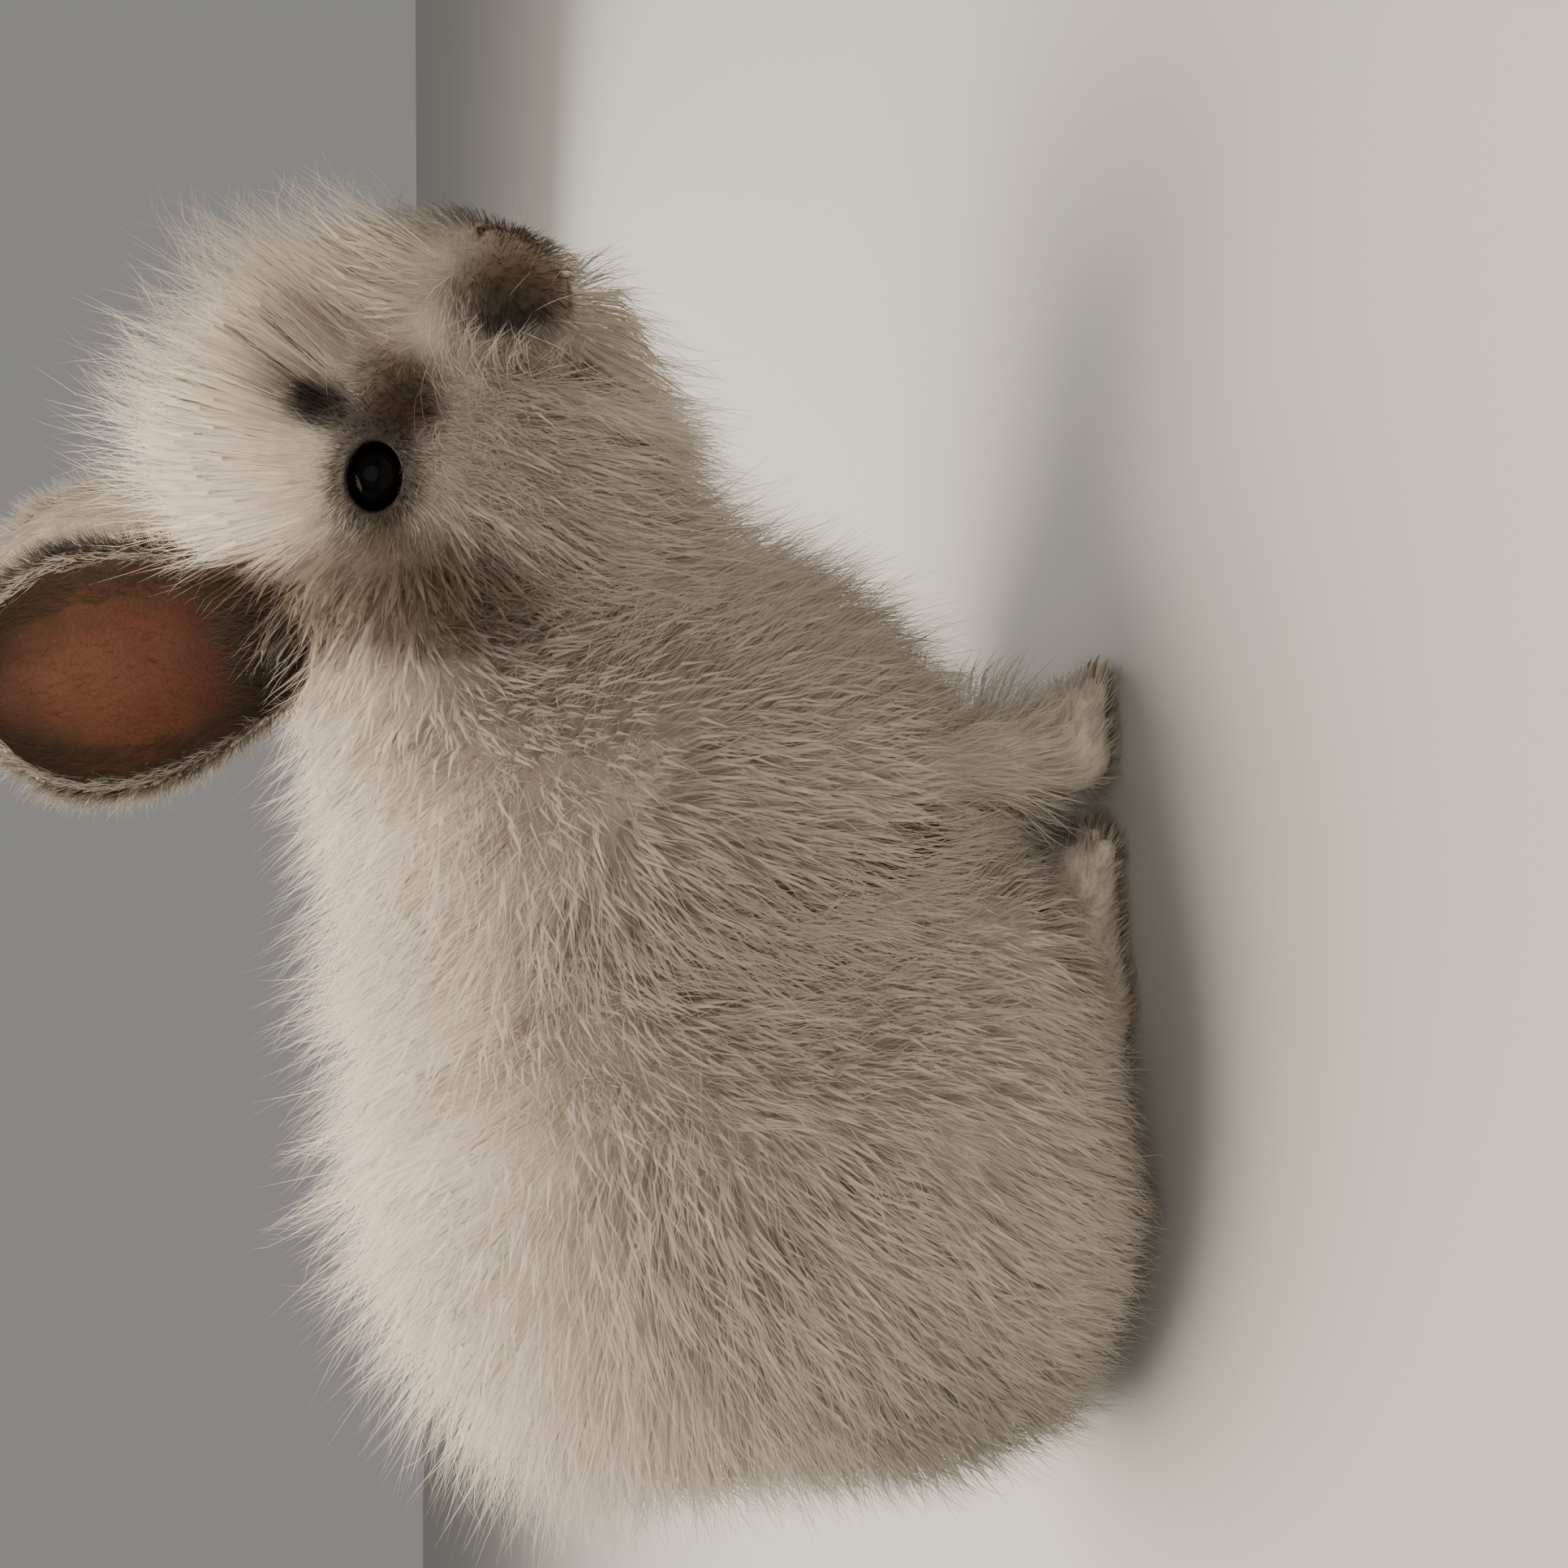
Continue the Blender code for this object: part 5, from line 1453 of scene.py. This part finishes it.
def pieced(name, layers, material):
    """Makes pieces of the layers, of few enough triangles, each from its own stretch of the body."""
    triangles = sum(len(hairs.corners) * len(hairs.faces) for hairs, _ in layers)
    count = math.ceil(triangles / MOST_TRIANGLES)
    places = np.concatenate([hairs.corners[:, 0, 0] for hairs, _ in layers])
    weights = np.concatenate([np.full(len(hairs.corners), len(hairs.faces)) for hairs, _ in layers])
    order = np.argsort(places)
    running = np.cumsum(weights[order]) / weights.sum()
    limits = np.interp(np.linspace(0, 1, count + 1), running, places[order])
    limits[0], limits[-1] = -10, 10
    for i in range(count):
        groups = []
        for hairs, at in layers:
            x = hairs.corners[:, 0, 0]
            chosen = (x >= limits[i]) & (x < limits[i + 1])
            groups.append((Part(hairs, chosen), at[chosen]))
        label = name if count == 1 else f"{name}_{i + 1}"
        coat_object(label, groups, material)


skin_object, skin_data = make_skin()
skin_map = Unwrap(skin_object)
make_coat(skin_map, skin_data)


WHISKER_ROOTS = (
    ((49, 12, -23), (0.80, 0.55, 0.06), 27),
    ((48, 13, -27), (0.80, 0.60, -0.06), 28),
    ((47, 13, -31), (0.72, 0.70, -0.16), 29),
    ((45, 14, -24), (0.45, 0.90, 0.02), 34),
    ((44, 14, -29), (0.42, 0.90, -0.14), 36),
    ((44, 14, -33), (0.36, 0.90, -0.30), 34),
    ((41, 15, -27), (0.10, 1.0, -0.10), 38),
    ((40, 15, -32), (0.10, 1.0, -0.28), 36),
)
BROW_ROOTS = (
    ((8, 17, 13), (0.92, 0.42, 0.00), 38),
    ((10, 17, 12), (0.85, 0.50, 0.22), 30),
    ((5, 18, 13), (0.55, 0.70, 0.50), 24),
)
DARK_WHISKER = ((44, 13, -14), (0.80, 0.55, 0.25), 26)
WHISKER_WIDTH = 0.085
BROW_WIDTH = 0.11
WHISKER_RINGS = 9
# No whisker reaches further forward than this.
WHISKER_END = 154


def long_hairs(roots, width, colour, droop, rng):
    """Single stiff hairs on both sides of the head, from just under the skin to their fine tips."""
    paths = []
    for side in (-1, 1):
        for root, way, length in roots:
            at = from_head(np.multiply(root, (MM, side * MM, MM)) + rng.normal(0, 0.4, 3) * MM)
            lie = np.multiply(way, (1, side, 1)) + rng.normal(0, 0.06, 3)
            lie = HEAD_TURN @ (lie / np.linalg.norm(lie))
            share = np.linspace(0, 1, WHISKER_RINGS + 1)[:, None]
            bow = np.cross(lie, HEAD_TURN @ rng.normal(0, 1, 3)) * 0.05
            reach = length * rng.uniform(0.85, 1.05) * MM
            reach = min(reach, (WHISKER_END * MM - at[0]) / max(lie[0], 0.01))
            paths.append(at + reach * (lie * share + bow * share**2 - np.array((0, 0, droop)) * share**2))
    path = np.array(paths)
    count = len(path)
    upward = np.tile(HEAD_TURN[:, 2], (count, WHISKER_RINGS + 1, 1))
    colours = np.tile(colour, (count, 1))
    wide = np.full(count, width * MM)
    return Hairs(path, upward, wide, path[:, 0], shaded(colours, rng, 0.05), 0.3, 5, 1.0, 0.5)


def make_whiskers(unwrap):
    rng = np.random.default_rng(SEED + 1)
    groups = [
        long_hairs(WHISKER_ROOTS, WHISKER_WIDTH, WHITE, 0.10, rng),
        long_hairs(BROW_ROOTS[1:], BROW_WIDTH, WHITE, 0.08, rng),
        long_hairs((DARK_WHISKER, BROW_ROOTS[0]), BROW_WIDTH, BROWN, 0.05, rng),
    ]
    groups = [(hairs, unwrap.at(hairs.roots)) for hairs in groups]
    coat_object("whiskers", groups, coat_material("whisker", 0.35))


CLAW_RADIUS = 1.25
CLAW_RINGS = 7
CLAW_SIDES = 8
CLAW_HEIGHT = 5.0
CLAW_LENGTH = 8.3


def make_claws():
    """Short curved claws at the toes of all four feet, of translucent horn."""
    corners, faces = [], []
    for toes in (foreleg_toes(), hind_toes()):
        for side in (-1, 1):
            for _, (x, y, _) in toes:
                start = len(corners)
                for i in range(CLAW_RINGS):
                    share = i / (CLAW_RINGS - 1)
                    fall = 0.8 * share + 2.6 * share**2
                    centre = (x + 0.5 + CLAW_LENGTH * share, side * y, CLAW_HEIGHT - fall)
                    radius = CLAW_RADIUS * (1 - share**1.6) + 0.05
                    for j in range(CLAW_SIDES):
                        turn = 2 * math.pi * j / CLAW_SIDES
                        off = (0, radius * 0.8 * math.cos(turn), radius * math.sin(turn))
                        corners.append([c + o for c, o in zip(centre, off)])
                    for j in range(CLAW_SIDES if i else 0):
                        k = (j + 1) % CLAW_SIDES
                        a, b = start + (i - 1) * CLAW_SIDES, start + i * CLAW_SIDES
                        faces += [(a + j, a + k, b + k), (a + j, b + k, b + j)]
                last = start + (CLAW_RINGS - 1) * CLAW_SIDES
                for j in range(1, CLAW_SIDES - 1):
                    faces += [(start, start + j + 1, start + j), (last, last + j, last + j + 1)]
    thing = mesh_object("claws", np.array(corners) * MM, np.array(faces))
    horn = Surface("horn", Roughness=0.38, Subsurface_Weight=0.25, Subsurface_Radius=(0.002, 0.001, 0.0006))
    shade = horn.add("ValToRGB", {"Fac": horn.noise(700, 2)})
    shade.color_ramp.elements[0].color = (0.20, 0.135, 0.085, 1)
    shade.color_ramp.elements[1].color = (0.46, 0.36, 0.27, 1)
    horn.put(horn.shader, {"Base Color": shade.outputs["Color"]})
    thing.data.materials.append(horn.material)
    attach(thing, "root")


make_whiskers(skin_map)
make_claws()


# The iris's and its rim's colours, at shares of EYE_SHARE from the eye's axis.
EYE_SHARE = 0.010
EYE_COLOURS = (
    (0.50, (0.005, 0.0035, 0.0025)),
    (0.78, (0.0035, 0.0025, 0.002)),
    (0.88, (0.001, 0.001, 0.001)),
)


def eye_material():
    """A dark brown iris round a black pupil with a faint bluish painted sheen at its centre, under a clear wet
    front, nearly black in soft light.
    """
    eye = Surface("eye", Roughness=0.10, IOR=1.33, Specular_IOR_Level=0.13)
    apart = eye.add("SeparateXYZ", {"Vector": eye.place()})
    flat = eye.add("CombineXYZ", {"X": apart.outputs["X"], "Y": apart.outputs["Y"]})
    off = eye.add("VectorMath", {0: flat.outputs["Vector"]}, operation="LENGTH")
    streaks = {0: eye.noise(900, 2), 1: 0.0012, 2: off.outputs["Value"]}
    uneven = eye.add("Math", streaks, operation="MULTIPLY_ADD")
    share = eye.add("MapRange", {"Value": uneven.outputs["Value"], "From Max": EYE_SHARE})
    rings = eye.add("ValToRGB", {"Fac": share.outputs["Result"]})
    colours = rings.color_ramp.elements
    # Painted sheen: the pupil's centre is a faint bluish grey.
    colours[0].color = (0.0045, 0.005, 0.0065, 1)
    colours[1].position = 0.42
    colours[1].color = (0.002, 0.002, 0.0025, 1)
    for at, colour in EYE_COLOURS:
        colours.new(at).color = (*colour, 1)
    eye.put(eye.shader, {"Base Color": rings.outputs["Color"]})
    return eye.material


EYE_STEPS = 72
EYE_RINGS = 40
CORNEA_RISE = 0.55
CORNEA_WIDTH = 0.62


def make_eyes():
    """Each eyeball with its slightly raised front, turned the way the eye looks."""
    material = eye_material()
    angle = np.repeat(np.linspace(0, math.pi, EYE_RINGS + 1), EYE_STEPS)
    turn = np.tile(np.linspace(0, 2 * math.pi, EYE_STEPS, endpoint=False), EYE_RINGS + 1)
    rise = CORNEA_RISE * np.exp(-((angle / CORNEA_WIDTH) ** 4))
    radius = (EYE_RADIUS - 0.25 + rise - CORNEA_RISE * 0.4) * MM
    around = np.sin(angle)
    corners = np.column_stack((around * np.cos(turn), around * np.sin(turn), np.cos(angle)))
    corners *= radius[:, None]
    faces = []
    for i in range(EYE_RINGS):
        for j in range(EYE_STEPS):
            k = (j + 1) % EYE_STEPS
            a, b = i * EYE_STEPS, (i + 1) * EYE_STEPS
            faces.append((a + j, b + j, b + k, a + k))
    for side, name in SIDES:
        mesh = bpy.data.meshes.new("eyeball_" + name)
        mesh.from_pydata(corners.tolist(), [], faces)
        mesh.polygons.foreach_set("use_smooth", [True] * len(mesh.polygons))
        thing = linked("eyeball_" + name, mesh)
        work = bmesh.new()
        work.from_mesh(mesh)
        bmesh.ops.remove_doubles(work, verts=work.verts, dist=1e-6)
        bmesh.ops.recalc_face_normals(work, faces=work.faces)
        work.to_mesh(mesh)
        work.free()
        mesh.materials.append(material)
        look = HEAD.to_3x3() @ Vector((EYE_LOOK[0], side * EYE_LOOK[1], EYE_LOOK[2]))
        place = HEAD @ (Vector((EYE_PLACE[0], side * EYE_PLACE[1], EYE_PLACE[2])) * MM)
        turned = look.to_track_quat("Z", "Y").to_matrix().to_4x4()
        thing.matrix_world = Matrix.Translation(place + Vector(SHIFT)) @ turned
        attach(thing, "root")
        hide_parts("eye_" + name)


make_eyes()


def area_light(name, place, target, size, power, colour):
    light = bpy.data.lights.new(name, "AREA")
    light.shape = "DISK"
    light.size = size
    light.energy = power
    light.color = colour
    lamp = linked(name, light)
    lamp.location = Vector(place) + Vector(SHIFT)
    way = Vector(target) - Vector(place)
    lamp.rotation_euler = way.to_track_quat("-Z", "Y").to_euler()


FLOOR_HALF = 4.0
FLOOR_COLOUR = (0.54, 0.53, 0.51, 1)
LAMP_TARGET = (-0.02, 0, 0.12)
# Each lamp's name, place, size, power and colour.
LAMPS = (
    ("key", (-0.35, 0.15, 1.15), 1.1, 30, (1.0, 0.88, 0.72)),
    ("fill", (-0.3, -1.3, 0.6), 1.2, 5, (1.0, 0.92, 0.82)),
    ("back", (0.35, 0.9, 0.6), 0.8, 8, (1.0, 0.94, 0.86)),
)
WORLD_COLOUR = (0.87, 0.85, 0.81, 1)
WORLD_STRENGTH = 0.29


def studio():
    """A pale floor, soft lamps and an even pale surrounding."""
    mesh = bpy.data.meshes.new("floor")
    corners = [(x * FLOOR_HALF, y * FLOOR_HALF, 0) for x, y in ((-1, -1), (1, -1), (1, 1), (-1, 1))]
    mesh.from_pydata(corners, [], [(0, 1, 2, 3)])
    mesh.materials.append(Surface("floor_paint", Base_Color=FLOOR_COLOUR, Roughness=0.8).material)
    floor = linked("floor", mesh)
    for name, place, size, power, colour in LAMPS:
        area_light(name, place, LAMP_TARGET, size, power, colour)
    world = bpy.data.worlds.new("surrounding")
    world.use_nodes = True
    background = world.node_tree.nodes["Background"]
    background.inputs["Color"].default_value = WORLD_COLOUR
    background.inputs["Strength"].default_value = WORLD_STRENGTH
    bpy.context.scene.world = world


CAMERA_PLACE = (-0.04286, -0.40775, 0.20)
CAMERA_FORWARD = (0.10038, 0.95503, -0.27899)
CAMERA_RIGHT = (0.99452, -0.10453, 0.0)
LENS = 34.57
SENSOR = 36.0


def photo_camera():
    """The photograph was taken with the camera turned a quarter turn: the rabbit's up is the picture's left."""
    data = bpy.data.cameras.new("camera")
    data.lens = LENS
    data.sensor_width = SENSOR
    data.clip_start = 0.01
    camera = linked("camera", data)
    forward = Vector(CAMERA_FORWARD).normalized()
    right = Vector(CAMERA_RIGHT).normalized()
    turn = Matrix((-right.cross(forward), right, -forward)).transposed().to_4x4()
    camera.matrix_world = Matrix.Translation(Vector(CAMERA_PLACE) + Vector(SHIFT)) @ turn
    bpy.context.scene.camera = camera


studio()
photo_camera()
